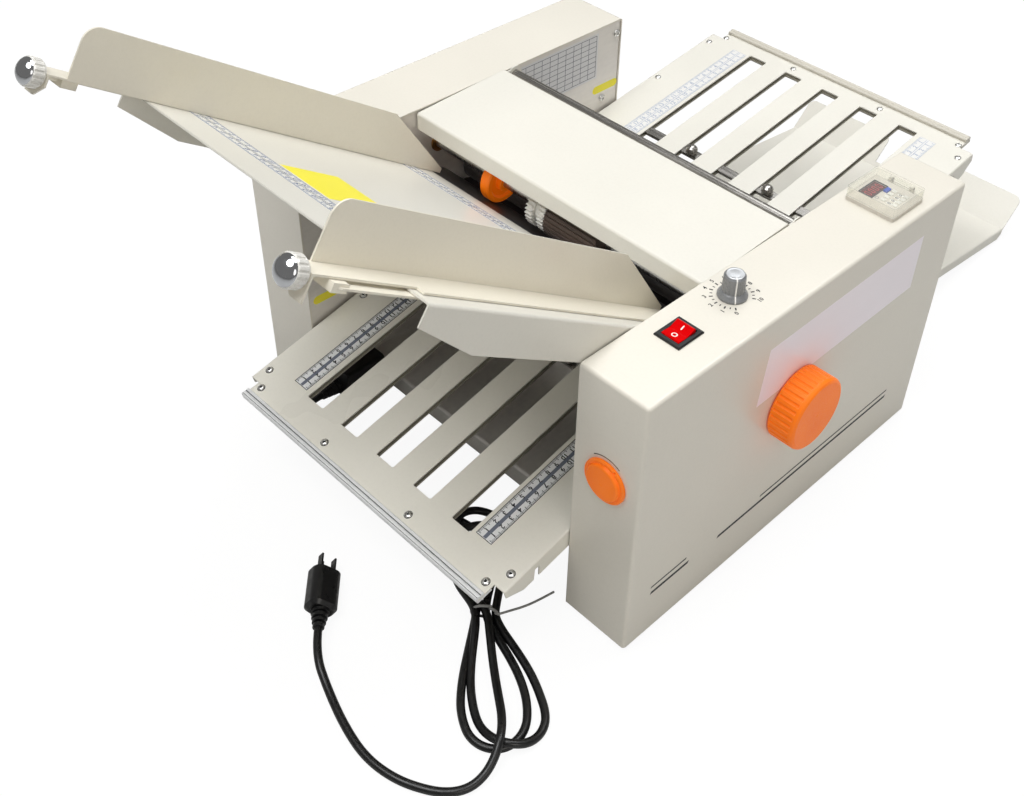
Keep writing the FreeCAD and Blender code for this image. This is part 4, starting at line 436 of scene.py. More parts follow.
# Painted shade: near-black rubber on the rollers, standing in for the deep shade in the roller gap.
GAP_ROLLERS_PAINTED_SHADE = rubber("gap_roller_painted_shade_rubber", srgb(34, 26, 26), 0.45)
BRIGHT_SCREW = metal("plated_screw", srgb(226, 226, 224), 0.26, (1.0, 1.0, 1.0), 300.0, 0.05)
DOME_CHROME = metal("knob_dome_chrome", srgb(196, 198, 202), 0.06, (1.0, 1.0, 1.0), 300.0, 0.02)
CAP_METAL = metal("knob_cap_metal", srgb(206, 208, 210), 0.36, (1.0, 1.0, 1.0), 60.0, 0.02)
MILKY = moulded("milky_knob_moulding", srgb(232, 230, 224), 0.28, 400.0, 0.05, 0.3)
YELLOW = printed("yellow_film", srgb(250, 238, 44), 0.34)
RULER_FILM = printed("ruler_film", srgb(246, 247, 248), 0.34)
RULER_INK = printed("ruler_ink", srgb(20, 22, 30), 0.5)
RULER_BAND = printed("ruler_band", srgb(112, 118, 134), 0.4)
TABLE_FILM = printed("table_ruler_film", srgb(228, 227, 222), 0.34)
TABLE_INK = printed("table_ruler_ink", srgb(104, 116, 150), 0.45)
REAR_FILM = printed("rear_ruler_film", srgb(226, 225, 222), 0.34)
REAR_INK = printed("rear_ruler_ink", srgb(168, 176, 192), 0.45)
# Painted shade: near-black coat on the infeed plate, standing in for the deep shade in the roller gap.
INFEED_PLATE_PAINTED_SHADE = powder_coat("infeed_plate_shade_coat", srgb(44, 42, 42), 0.4)
EDGE_COAT = powder_coat("edge_strip_coat", srgb(206, 201, 188), 0.36)
LILAC_FILM = printed("pale_side_film", srgb(252, 245, 252), 0.34)
CHART_FILM = printed("chart_film", srgb(222, 222, 224), 0.36)
CHART_INK = printed("chart_ink", srgb(86, 90, 104), 0.5)
NAVY_INK = printed("stripe_ink", srgb(10, 10, 20), 0.5)
# Black print of the dial and the counter drums, also used as painted shade in the tray's screw sockets.
BLACK_INK_AND_SHADE = printed("black_ink_and_painted_shade", srgb(8, 8, 11), 0.5)
WHITE_INK = printed("mark_ink", srgb(242, 240, 236), 0.4)
LED_WINDOW = moulded("display_filter", srgb(84, 6, 12), 0.10, 300.0, 0.01, 0.8)
LED_SEGMENT = printed("display_segments", srgb(190, 26, 30), 0.35)
TIE_WIRE = moulded("tie_plastic", srgb(160, 160, 158), 0.34, 500.0, 0.08)
# Nodes whose surface differs from the rest of their slot.
NODE_MATERIALS = {
    "infeed_roller": GAP_ROLLERS_PAINTED_SHADE, "hand_roller": GAP_ROLLERS_PAINTED_SHADE, "second_roller": GAP_ROLLERS_PAINTED_SHADE,
    "exit_roller": GAP_ROLLERS_PAINTED_SHADE, "guide_clamp_right": MATERIALS["guide_paint"],
    "guide_clamp_left": MATERIALS["guide_paint"], "tray_screws": BRIGHT_SCREW,
    "guide_knob_right": MILKY, "guide_knob_left": MILKY, "infeed_plate": INFEED_PLATE_PAINTED_SHADE,
    "rear_edge_bar": EDGE_COAT, "front_tray_upper": FRONT_TRAY_PAINTED_LIGHT,
    "front_tray_lower": LOWER_TRAY_PAINTED_SHADE, "rear_tray_lower": LOWER_TRAY_PAINTED_SHADE,
}


def dress_nodes():
    """Give every CAD node the material of its slot, or its own."""
    slots = {part["node"]: part["material_slot"] for part in frame["record"]["subparts"]}
    for name, obj in frame["nodes"].items():
        material = NODE_MATERIALS.get(name, MATERIALS[slots[name]])
        if not obj.data.materials:
            obj.data.materials.append(material)
        for holder in obj.material_slots:
            holder.material = material


# ---- mesh helpers --------------------------------------------------------------------------------
def ring_points(u, v, radius, sides):
    """Points evenly round (u, v)."""
    turns = [2 * math.pi * i / sides for i in range(sides)]
    return [(u + radius * math.cos(t), v + radius * math.sin(t)) for t in turns]


class Sheet:
    """Flat prints on a plane: origin and two unit directions in millimetres, thickness outwards."""

    def __init__(self, origin, across, along):
        self.origin = Vector(origin)
        self.across = Vector(across).normalized()
        self.along = Vector(along).normalized()
        self.normal = self.across.cross(self.along).normalized()

    def point(self, u, v, h=0.0):
        """Scene point at (u, v), h above the sheet."""
        p = self.origin + self.across * u + self.along * v + self.normal * h
        return at(p.x, p.y, p.z)

    def slab(self, bm, outline, low, high, material=0):
        """Prism over an outline of (u, v) points."""
        bottom = [bm.verts.new(self.point(u, v, low)) for u, v in outline]
        top = [bm.verts.new(self.point(u, v, high)) for u, v in outline]
        count = len(outline)
        faces = [bm.faces.new(top), bm.faces.new(list(reversed(bottom)))]
        for i in range(count):
            j = (i + 1) % count
            faces.append(bm.faces.new((bottom[i], bottom[j], top[j], top[i])))
        for face in faces:
            face.material_index = material

    def bar(self, bm, u0, v0, u1, v1, width, low, high, material=0):
        """Straight line of ink from one (u, v) to another."""
        du, dv = u1 - u0, v1 - v0
        length = math.hypot(du, dv)
        nu, nv = -dv / length * width / 2, du / length * width / 2
        self.slab(bm, [(u0 - nu, v0 - nv), (u1 - nu, v1 - nv), (u1 + nu, v1 + nv), (u0 + nu, v0 + nv)],
                  low, high, material)

    def rect(self, bm, u0, v0, u1, v1, low, high, material=0):
        """Patch between two opposite corners."""
        self.slab(bm, [(u0, v0), (u1, v0), (u1, v1), (u0, v1)], low, high, material)

    def disc(self, bm, u, v, radius, low, high, material=0, sides=32):
        """Round or many-sided patch about (u, v)."""
        self.slab(bm, ring_points(u, v, radius, sides), low, high, material)

    def capsule(self, bm, u, v, length, width, low, high, material=0):
        """Patch with round ends, its long side along the first direction."""
        r = width / 2
        reach = length / 2 - r
        turns = [math.pi * i / 12 for i in range(13)]
        right = [(u + reach + r * math.sin(t), v - r * math.cos(t)) for t in turns]
        left = [(u - reach - r * math.sin(t), v + r * math.cos(t)) for t in turns]
        self.slab(bm, right + left, low, high, material)

    def arc(self, bm, u, v, radius, start, end, width, low, high, material=0):
        """Curved line of ink about (u, v) between two angles in degrees."""
        steps = max(4, int(abs(end - start) / 7))
        turns = [math.radians(start + (end - start) * i / steps) for i in range(steps + 1)]
        outer, inner = radius + width / 2, radius - width / 2
        for a, b in zip(turns, turns[1:]):
            self.slab(bm, [(u + inner * math.cos(a), v + inner * math.sin(a)),
                           (u + outer * math.cos(a), v + outer * math.sin(a)),
                           (u + outer * math.cos(b), v + outer * math.sin(b)),
                           (u + inner * math.cos(b), v + inner * math.sin(b))], low, high, material)

    def lathe(self, bm, u, v, profile, sides=48, material=0):
        """Turned shape about the sheet's normal at (u, v) over (radius, height) points."""
        rings = []
        for radius, height in profile:
            if radius == 0:
                rings.append([bm.verts.new(self.point(u, v, height))])
                continue
            rings.append([bm.verts.new(self.point(a, b, height))
                          for a, b in ring_points(u, v, radius, sides)])
        for a, b in zip(rings, rings[1:]):
            for i in range(sides):
                j = (i + 1) % sides
                corners = [a[i % len(a)], a[j % len(a)], b[j % len(b)], b[i % len(b)]]
                face = bm.faces.new(list(dict.fromkeys(corners)))
                face.material_index = material


def mesh_from(bm, name):
    """Mesh of a finished bmesh, its faces turned outwards."""
    bmesh.ops.recalc_face_normals(bm, faces=bm.faces)
    mesh = bpy.data.meshes.new(name)
    bm.to_mesh(mesh)
    bm.free()
    return mesh


def text_mesh(bm, sheet, text, u, v, size, turn, low, high, material=0):
    """Digits set on a sheet, centred at (u, v) and turned by an angle in degrees."""
    curve = bpy.data.curves.new("digits", "FONT")
    curve.body = text
    curve.size = 1.0
    curve.align_x = "CENTER"
    curve.align_y = "CENTER"
    curve.resolution_u = 2
    curve.extrude = 0.5
    curve.offset = 0.02
    holder = add_object("digits", curve)
    graph = bpy.context.evaluated_depsgraph_get()
    mesh = bpy.data.meshes.new_from_object(holder.evaluated_get(graph))
    c, s = math.cos(math.radians(turn)), math.sin(math.radians(turn))
    count = len(bm.faces)
    for vertex in mesh.vertices:
        x, y, z = vertex.co
        x, y = x * size, y * size
        h = low + (z + 0.5) * (high - low)
        vertex.co = sheet.point(u + x * c - y * s, v + x * s + y * c, h)
    bm.from_mesh(mesh)
    bm.faces.ensure_lookup_table()
    for face in bm.faces[count:]:
        face.material_index = material
    bpy.data.objects.remove(holder)
    bpy.data.curves.remove(curve)
    bpy.data.meshes.remove(mesh)


def print_piece(name, bm, materials, body, smooth=False):
    """Piece of the scene that rides on a body and wears the given materials."""
    mesh = mesh_from(bm, name)
    obj = add_object(name, mesh)
    for material in materials:
        mesh.materials.append(material)
    for polygon in mesh.polygons:
        polygon.use_smooth = smooth
    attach(obj, body)
    return obj


# ---- rulers --------------------------------------------------------------------------------------
RULER_WIDTH = 18.0
RULER_PITCH = 10.0
LONG_TICK = (3.2, 0.55)
SHORT_TICK = (2.0, 0.34)
NUMBER_IN = 5.4
NUMBER_BACK = 4.6
NUMBER_SIZE = 6.4
PAIR_OF_LINES = ((-1.0, 0.5), (1.0, 0.5))
THIN_BORDER = 0.2
TRAY_RULER_LEFT = -132.0
TRAY_RULER_RIGHT = 112.0
FEED_RULER_START = -150.0
FEED_RULER_LENGTH = 300.0


def ruler(name, sheet, u0, v0, length, materials, bands=((0.0, 3.4),), edge=0.6):
    """Ruler sticker from (u0, v0) along +v: film, border, middle band, ticks and numbers."""
    bm = bmesh.new()
    width = RULER_WIDTH
    sheet.rect(bm, u0, v0, u0 + width, v0 + length, 0.0, STICKER, 0)
    top = STICKER + INK
    for a, b in ((0, edge), (width - edge, width)):
        sheet.rect(bm, u0 + a, v0, u0 + b, v0 + length, STICKER, top, 1)
    for a, b in ((0, edge), (length - edge, length)):
        sheet.rect(bm, u0 + edge, v0 + a, u0 + width - edge, v0 + b, STICKER, top, 1)
    for offset, band in bands:
        middle = u0 + width / 2 + offset
        sheet.rect(bm, middle - band / 2, v0 + 1, middle + band / 2, v0 + length - 1, STICKER, top, 2)
    steps = int(length - 4)
    for i in range(steps + 1):
        v = v0 + 2 + i
        reach, thick = SHORT_TICK if i % 5 else LONG_TICK
        sheet.bar(bm, u0 + edge, v, u0 + edge + reach, v, thick, STICKER, top, 1)
        sheet.bar(bm, u0 + width - edge - reach, v, u0 + width - edge, v, thick, STICKER, top, 1)
    for i in range(int((length - 8) // RULER_PITCH)):
        v = v0 + 2 + RULER_PITCH * (i + 1)
        for u in (u0 + NUMBER_IN, u0 + width - NUMBER_IN):
            text_mesh(bm, sheet, str(i + 1), u, v - NUMBER_BACK, NUMBER_SIZE, -90.0, STICKER, top, 1)
    return print_piece(name, bm, materials, "machine")


def front_tray_sheet():
    """Top face of the front tray, from its outer edge up the slope."""
    return Sheet((0.0, FRONT_EDGE[0], FRONT_EDGE[1]), (1.0, 0.0, 0.0),
                 (0.0, math.cos(FRONT_SLOPE), math.sin(FRONT_SLOPE)))


def rear_tray_sheet():
    """Top face of the rear tray, from its outer edge towards the front."""
    return Sheet((0.0, REAR_EDGE[0], REAR_EDGE[1]), (-1.0, 0.0, 0.0),
                 (0.0, -math.cos(REAR_SLOPE), -math.sin(REAR_SLOPE)))


def feed_sheet():
    """Face of the feed table, from its outer edge down the slope."""
    return Sheet((0.0, FEED_EDGE[0], FEED_EDGE[1]), (1.0, 0.0, 0.0),
                 (0.0, math.cos(FEED_SLOPE), -math.sin(FEED_SLOPE)))


def turned(sheet):
    """The same plane with its directions swapped, for rulers that run across the machine."""
    swapped = Sheet(sheet.origin, sheet.along, sheet.across)
    swapped.normal = sheet.normal
    return swapped


def add_rulers():
    """Two rulers along each fold tray and two across the feed table."""
    inks = (RULER_FILM, RULER_INK, RULER_BAND)
    front = front_tray_sheet()
    ruler("ruler_front_left", front, TRAY_RULER_LEFT, 40.0, 190.0, inks)
    ruler("ruler_front_right", front, TRAY_RULER_RIGHT, 40.0, 190.0, inks)
    rear = rear_tray_sheet()
    light = (REAR_FILM, REAR_INK, REAR_INK)
    for name, u in (("ruler_rear_left", TRAY_RULER_RIGHT), ("ruler_rear_right", TRAY_RULER_LEFT)):
        ruler(name, rear, u, 27.0, 273.0, light, PAIR_OF_LINES, THIN_BORDER)
    across = turned(feed_sheet())
    pale = (TABLE_FILM, TABLE_INK, RULER_INK)
    for name, u in (("ruler_feed_front", 37.0), ("ruler_feed_rear", 271.0)):
        ruler(name, across, u, FEED_RULER_START, FEED_RULER_LENGTH, pale,
              PAIR_OF_LINES, THIN_BORDER)


# ---- prints on the housings ----------------------------------------------------------------------
def top_sheet(height=TOP):
    """Level plane over the right-hand housing."""
    return Sheet((0.0, 0.0, height), (1.0, 0.0, 0.0), (0.0, 1.0, 0.0))


def outer_sheet():
    """Outer side of the right-hand housing."""
    return Sheet((RIGHT_OUTER, 0.0, 0.0), (0.0, 1.0, 0.0), (0.0, 0.0, 1.0))


def front_sheet():
    """Front of the housings."""
    return Sheet((0.0, 0.0, 0.0), (1.0, 0.0, 0.0), (0.0, 0.0, 1.0))


def inner_left_sheet():
    """Side of the left plate that faces the paper."""
    return Sheet((PLATE_LEFT, 0.0, 0.0), (0.0, 1.0, 0.0), (0.0, 0.0, 1.0))


STRIPES = [
    # rear end, front end, height, width
    (361.5, 111.0, 54.0, 3.0), (362.3, 168.0, 61.3, 1.8), (73.4, 26.7, 53.8, 3.0), (70.2, 26.7, 61.2, 1.8),
]
# Corners of the blank film on the right side, as (y, z).
FILM_BAND = [(136.0, 189.0), (355.0, 191.0), (355.0, 247.0), (142.0, 245.0)]


def add_side_prints():
    """Ruled lines and the blank pale film on the right-hand side."""
    sheet = outer_sheet()
    bm = bmesh.new()
    for y1, y0, z, width in STRIPES:
        half = width / 2
        sheet.slab(bm, [(y0, z - half), (y1, z - half), (y1 + half, z + half), (y0 + half, z + half)],
                   0.0, INK)
    print_piece("side_lines", bm, (NAVY_INK,), "machine")
    bm = bmesh.new()
    sheet.slab(bm, FILM_BAND, 0.0, STICKER)
    print_piece("side_film", bm, (LILAC_FILM,), "machine")


KNOB_AT = (202.8, 180.7)
SETTING_LINE_RADIUS = 22.9
SETTING_LINE_WIDTH = 0.9


def add_front_prints():
    """Curved setting line over the thickness knob."""
    sheet = front_sheet()
    bm = bmesh.new()
    sheet.arc(bm, *KNOB_AT, SETTING_LINE_RADIUS, 58.0, 126.0, SETTING_LINE_WIDTH, 0.0, INK)
    print_piece("thickness_line", bm, (NAVY_INK,), "machine")


DIAL_AT = (195.3, 139.8)
DIAL_START = -42.0
DIAL_STEP = -14.3
MARK_START = 15.2
DIGIT_RADIUS = 21.6
DIGIT_SIZE = 5.2


def add_dial():
    """Speed scale on the housing: half steps between ten numbered marks."""
    sheet = top_sheet()
    bm = bmesh.new()
    x, y = DIAL_AT
    for i in range(21):
        turn = math.radians(DIAL_START + DIAL_STEP * i)
        c, s = math.cos(turn), math.sin(turn)
        end, width = (17.2, 0.85) if i % 2 else (18.2, 1.15)
        sheet.bar(bm, x + MARK_START * c, y + MARK_START * s, x + end * c, y + end * s, width, 0.0, INK)
        if i % 2 == 0:
            text_mesh(bm, sheet, str(i // 2), x + DIGIT_RADIUS * c, y + DIGIT_RADIUS * s, DIGIT_SIZE, 90.0,
                      0.0, INK)
    print_piece("speed_scale", bm, (BLACK_INK_AND_SHADE,), "machine")


KNOB_BASE = TOP + 0.3
POINTER_TURN = math.radians(-41.0)
POINTER_HALF = 0.55
# The cap and the pointer line's outer and inner side, as (radius, height).
CAP_PROFILE = [(7.5, 20.2), (7.5, 20.6), (6.9, 20.8), (6.4, 20.7), (4.0, 20.85), (0, 20.95)]
POINTER_OUTER = [(12.1, 0.3), (12.1, 1.7), (10.25, 4.7), (9.4, 5.4), (8.85, 18.9), (7.5, 20.75),
                 (5.6, 21.0)]
POINTER_INNER = [(5.6, 20.6), (7.0, 20.0), (8.2, 18.7), (8.6, 5.4), (9.4, 4.0), (11.0, 1.5), (11.0, 0.3)]


def add_speed_knob_trim():
    """Satin cap on the speed knob and the white pointer line down its side."""
    sheet = top_sheet(KNOB_BASE)
    bm = bmesh.new()
    sheet.lathe(bm, *DIAL_AT, CAP_PROFILE)
    print_piece("speed_knob_cap", bm, (CAP_METAL,), "speed_setting", smooth=True)
    radial = (math.cos(POINTER_TURN), math.sin(POINTER_TURN), 0.0)
    side = Sheet((*DIAL_AT, KNOB_BASE), radial, (0.0, 0.0, 1.0))
    bm = bmesh.new()
    side.slab(bm, POINTER_OUTER + POINTER_INNER, -POINTER_HALF, POINTER_HALF)
    print_piece("speed_pointer", bm, (WHITE_INK,), "speed_setting")


ROCKER_AT = (197.1, 75.7, TOP - 2.0)
ROCKER_TILT = math.radians(9.0)
ROCKER_VEE = math.atan2(2.0, 8.6)
ROCKER_FOLD = 4.0
MARK_MIDDLE = 4.6


def add_rocker_marks():
    """Line and ring on the two halves of the power key."""
    x, y, z = ROCKER_AT
    origin = (x, y - ROCKER_FOLD * math.sin(ROCKER_TILT), z + ROCKER_FOLD * math.cos(ROCKER_TILT))
    rear_slope = ROCKER_VEE + ROCKER_TILT
    front_slope = ROCKER_VEE - ROCKER_TILT
    rear = Sheet(origin, (1.0, 0.0, 0.0), (0.0, math.cos(rear_slope), math.sin(rear_slope)))
    front = Sheet(origin, (-1.0, 0.0, 0.0), (0.0, -math.cos(front_slope), math.sin(front_slope)))
    bm = bmesh.new()
    rear.bar(bm, 0.0, MARK_MIDDLE - 2.0, 0.0, MARK_MIDDLE + 2.0, 1.1, 0.0, INK)
    front.arc(bm, 0.0, MARK_MIDDLE, 2.0, 0.0, 360.0, 0.9, 0.0, INK)
    print_piece("rocker_marks", bm, (WHITE_INK,), "power_rocker")


COUNTER_AT = (202.0, 334.5)
# Heights over the housing's top: bezel, display well and preset drums.
BEZEL_RISE = 3.5
WELL_RISE = 2.7
DRUM_RISE = 2.9
# First column and step of the four digits and of the four drums, from COUNTER_AT.
DIGIT_START = -5.6
DIGIT_PITCH = 5.4
DRUM_START = -5.0
DRUM_PITCH = 5.8
FILTER_THICK = 0.35
DRUM_THICK = 0.25
LIT = 0.07
FRAME_RAISED = 0.7
FRAME_BARS = [
    # corners of the four bars around the display
    (-19.9, -9.9, -19.0, 14.9), (-6.6, -9.9, -5.9, 14.9),
    (-19.0, -9.9, -6.6, -9.0), (-19.0, 14.0, -6.6, 14.9),
]


def seven_segments(sheet, bm, u, v, width, height, lit, low, high, material):
    """Segments of one display digit, centred; its upright side points along -u."""
    w, h = width / 2, height / 2
    ends = {
        "a": (-h, -w, -h, w), "b": (-h, w, 0, w), "c": (0, w, h, w), "d": (h, -w, h, w),
        "e": (0, -w, h, -w), "f": (-h, -w, 0, -w), "g": (0, -w, 0, w),
    }
    for key in lit:
        u0, v0, u1, v1 = ends[key]
        du, dv = (u1 - u0) * 0.08, (v1 - v0) * 0.12
        sheet.bar(bm, u + u0 + du, v + v0 + dv, u + u1 - du, v + v1 - dv, 0.55, low, high, material)


def add_counter_face():
    """Display filter with dim digits, preset drums, their small keys and the display's frame."""
    x, y = COUNTER_AT
    face = top_sheet(TOP + BEZEL_RISE)
    well = top_sheet(TOP + WELL_RISE)
    drum = top_sheet(TOP + DRUM_RISE)
    columns = [y + DRUM_START + DRUM_PITCH * i for i in range(4)]
    bm = bmesh.new()
    well.rect(bm, x - 18.9, y - 8.9, x - 6.7, y + 13.9, 0.0, FILTER_THICK, 0)
    for i in range(4):
        seven_segments(well, bm, x - 12.6, y + DIGIT_START + DIGIT_PITCH * i, 2.6, 6.4, "abcdef",
                       FILTER_THICK, FILTER_THICK + LIT, 1)
    print_piece("counter_display", bm, (LED_WINDOW, LED_SEGMENT), "machine")
    bm = bmesh.new()
    for v in columns:
        drum.rect(bm, x + 5.7, v - 1.6, x + 10.7, v + 1.6, 0.0, DRUM_THICK, 0)
        text_mesh(bm, drum, "0", x + 8.2, v, 4.6, 90.0, DRUM_THICK, DRUM_THICK + 0.06, 1)
    print_piece("counter_drums", bm, (WHITE_INK, BLACK_INK_AND_SHADE), "machine")
    bm = bmesh.new()
    for v in columns:
        for u in (x + 1.7, x + 13.5):
            face.rect(bm, u - 2.1, v - 1.9, u + 2.1, v + 1.9, 0.0, 0.7, 0)
            face.rect(bm, u - 1.5, v - 1.3, u + 1.5, v + 1.3, 0.7, 0.9, 0)
    face.arc(bm, x - 3.6, y - 6.0, 1.6, 0.0, 360.0, 0.4, 0.0, INK, 1)
    print_piece("counter_keys", bm, (MILKY, CHART_INK), "machine")
    bm = bmesh.new()
    for u0, v0, u1, v1 in FRAME_BARS:
        face.rect(bm, x + u0, y + v0, x + u1, y + v1, 0.0, FRAME_RAISED, 0)
    print_piece("counter_frame", bm, (MATERIALS["black_plastic"],), "machine")


# ---- details of the front tray -------------------------------------------------------------------
BAR_HALF = 157.2
BAR_RISE = 3.2
GROOVE_FLOOR = 2.62
FRONT_SCREWS = [
    (-150.3, 15.0), (-56.3, 15.0), (56.3, 15.0), (150.3, 15.0),
    (160.8, 32.5), (-160.8, 32.5), (160.8, 146.2), (-160.8, 146.2),
]
SOCKET_RADIUS = 1.25
SOCKET_FLOOR = 0.5
SHADOW_RADIUS = 3.55


def add_edge_bar_groove_shade():
    """Painted shade in the grooves and along the top front edge of the front tray's bright edge bar."""
    sheet = front_tray_sheet()
    bm = bmesh.new()
    sheet.rect(bm, -BAR_HALF, 3.35, BAR_HALF, 4.25, GROOVE_FLOOR, GROOVE_FLOOR + 0.1)
    sheet.rect(bm, -BAR_HALF, -0.1, BAR_HALF, 0.35, BAR_RISE, BAR_RISE + 0.04)
    print_piece("edge_bar_groove_shade", bm, (SLOT_SHADE,), "machine")


def add_screw_sockets():
    """Painted shade in the sockets of the front tray's screws, and painted shadow rings round them."""
    sheet = front_tray_sheet()
    bm = bmesh.new()
    for u, v in FRONT_SCREWS:
        # Painted shade: a black disc on each socket's floor.
        sheet.disc(bm, u, v, SOCKET_RADIUS, SOCKET_FLOOR, SOCKET_FLOOR + 0.12, 0, 6)
        sheet.arc(bm, u, v, SHADOW_RADIUS, 0.0, 360.0, 0.5, 0.0, 0.06)
    print_piece("tray_screw_shade", bm, (BLACK_INK_AND_SHADE,), "machine")


# ---- hand wheel, inner side, feed table and clamping knobs ---------------------------------------
WHEEL_FACE = 262.6
WHEEL_AT = (187.7, 164.2)
WHEEL_MARK = [(2.0, 0.0), (1.8, 0.25), (1.1, 0.25), (0.9, 0.02), (0, 0.02)]


def add_wheel_centre():
    """Small moulding mark in the middle of the hand wheel's face."""
    sheet = Sheet((WHEEL_FACE, 0.0, 0.0), (0.0, 1.0, 0.0), (0.0, 0.0, 1.0))
    bm = bmesh.new()
    sheet.lathe(bm, *WHEEL_AT, WHEEL_MARK, 24)
    print_piece("wheel_centre", bm, (MATERIALS["orange_rubber"],), "hand_drive")


# Chart corners, patch middles and screw places on the left plate, as (y, z).
CHART_LOW = (250.0, 218.6)
CHART_HIGH = (378.0, 270.0)
CHART_MARGIN = 2.5
CHART_ROWS = 9
CHART_COLUMNS = 12
CHART_LINE = 0.5
PATCHES = [(392.0, 203.0), (24.0, 122.0)]
PLATE_SCREWS = [(405.0, 261.0), (388.0, 191.0)]
SCREW_PROFILE = [(4.0, 0.0), (4.0, 1.0), (3.2, 1.9), (1.7, 2.3), (1.7, 1.2), (0, 1.2)]


def add_inner_prints():
    """Grid chart, two plain yellow patches and two screws on the left side plate."""
    sheet = inner_left_sheet()
    bm = bmesh.new()
    sheet.rect(bm, *CHART_LOW, *CHART_HIGH, 0.0, STICKER, 0)
    top = STICKER + INK
    y0, z0 = (low + CHART_MARGIN for low in CHART_LOW)
    y1, z1 = (high - CHART_MARGIN for high in CHART_HIGH)
    for i in range(CHART_ROWS):
        z = z0 + (z1 - z0) * i / (CHART_ROWS - 1)
        sheet.bar(bm, y0, z, y1, z, CHART_LINE, STICKER, top, 1)
    for i in range(CHART_COLUMNS):
        y = y0 + (y1 - y0) * i / (CHART_COLUMNS - 1)
        sheet.bar(bm, y, z0, y, z1, CHART_LINE, STICKER, top, 1)
    print_piece("inner_chart", bm, (CHART_FILM, CHART_INK), "machine")
    bm = bmesh.new()
    for y, z in PATCHES:
        sheet.capsule(bm, y, z, 37.0, 9.0, 0.0, STICKER)
    print_piece("inner_patches", bm, (YELLOW,), "machine")
    bm = bmesh.new()
    for y, z in PLATE_SCREWS:
        sheet.lathe(bm, y, z, SCREW_PROFILE, 32)
    print_piece("inner_screws", bm, (BRIGHT_SCREW,), "machine")


# Opposite corners on the feed table, from its outer edge.
TABLE_PATCH = (-53.0, 58.0, 5.0, 116.0)


def add_table_patch():
    """Plain yellow film on the feed table."""
    bm = bmesh.new()
    feed_sheet().rect(bm, *TABLE_PATCH, 0.0, STICKER)
    print_piece("table_patch", bm, (YELLOW,), "machine")


# The clamping knobs' middles: x of each with its body, and their place out along and under the table.
CLAMP_KNOBS = {"right": (140.0, "right_guide_knob"), "left": (-148.5, "left_guide_knob")}
KNOBS_OUT = 79.3
KNOBS_UNDER = 2.0
DOME = [(9.6, 9.0), (9.5, 10.4), (8.4, 11.8), (6.2, 13.5), (3.4, 14.5), (0, 14.9)]


def add_knob_domes():
    """Bright domes set in the clamping knobs of the side guides."""
    base = feed_sheet()
    middle = base.origin - base.along * KNOBS_OUT - base.normal * KNOBS_UNDER
    for name, (x, body) in CLAMP_KNOBS.items():
        bm = bmesh.new()
        Sheet(middle, (1.0, 0.0, 0.0), base.normal).lathe(bm, x, 0.0, DOME)
        print_piece("knob_dome_" + name, bm, (DOME_CHROME,), body, smooth=True)


# ---- cord ----------------------------------------------------------------------------------------
# Control points, in millimetres, from the inlet to the plug.
LEAD_ROUTE = [
    (-160.0, -6.0, 17.0), (-160.0, -19.5, 17.0), (-156.0, -32.5, 14.5), (-146.0, -42.5, 10.5),
    (-131.5, -48.0, 6.5), (-113.0, -49.0, 4.0), (-88.0, -46.0, 3.5), (-60.0, -41.0, 3.5),
    (-14.0, -27.0, 3.5), (20.0, -10.0, 3.5), (50.0, -2.0, 3.5),
]
# Into the back lobe and through the tie on the left, out round the front lobe and back.
FIRST_TURN = [
    (68.0, -1.0, 3.5), (83.0, -9.0, 3.5), (96.0, -22.0, 3.5), (107.0, -37.5, 3.5),
    (116.0, -50.5, 3.5), (126.5, -62.0, 3.5), (136.0, -74.0, 3.5), (149.0, -91.0, 3.5),
    (161.0, -106.5, 3.5), (172.0, -119.0, 3.5), (183.0, -129.5, 3.5), (194.0, -136.5, 3.5),
    (205.3, -141.3, 3.5), (217.4, -141.0, 3.5), (227.9, -135.4, 3.5), (233.9, -125.8, 3.5),
    (234.5, -114.6, 3.5), (230.3, -103.6, 3.5), (221.3, -93.7, 3.5), (209.0, -84.5, 3.5),
    (193.0, -76.5, 3.5), (176.0, -70.5, 3.5), (160.0, -66.0, 3.5), (146.0, -62.0, 3.5),
]
BACK_LOOP_ONE = [
    (132.0, -56.5, 3.5), (121.5, -45.0, 3.5), (112.0, -31.5, 3.5), (102.5, -18.0, 3.5),
    (93.5, -4.5, 3.5), (86.2, 10.2, 3.5), (77.2, 19.8, 3.5), (65.0, 23.2, 3.5),
    (52.8, 19.9, 4.5), (44.0, 11.2, 8.0), (40.8, -1.0, 10.7), (44.0, -13.2, 10.7),
    (52.4, -24.6, 7.5), (64.0, -35.5, 4.0), (79.0, -46.0, 3.5), (96.0, -53.6, 4.5),
    (111.5, -57.6, 7.5),
]
SECOND_TURN = [
    (124.5, -61.8, 9.6), (135.0, -69.6, 9.2), (144.5, -80.0, 7.3), (155.5, -92.5, 5.0),
    (165.5, -103.0, 3.5), (176.0, -112.5, 3.5), (186.0, -119.8, 3.5), (195.5, -125.6, 3.5),
    (204.8, -129.8, 4.4), (215.2, -132.2, 7.4), (226.6, -131.6, 10.7), (237.3, -125.4, 10.7),
    (243.4, -114.8, 6.9), (243.6, -102.8, 3.5), (239.4, -91.8, 3.5), (230.9, -84.0, 3.5),
    (221.0, -78.6, 3.5), (209.0, -72.8, 3.5), (196.0, -67.8, 3.5), (181.0, -63.5, 3.5),
    (166.0, -60.0, 3.5), (151.0, -56.5, 3.5),
]
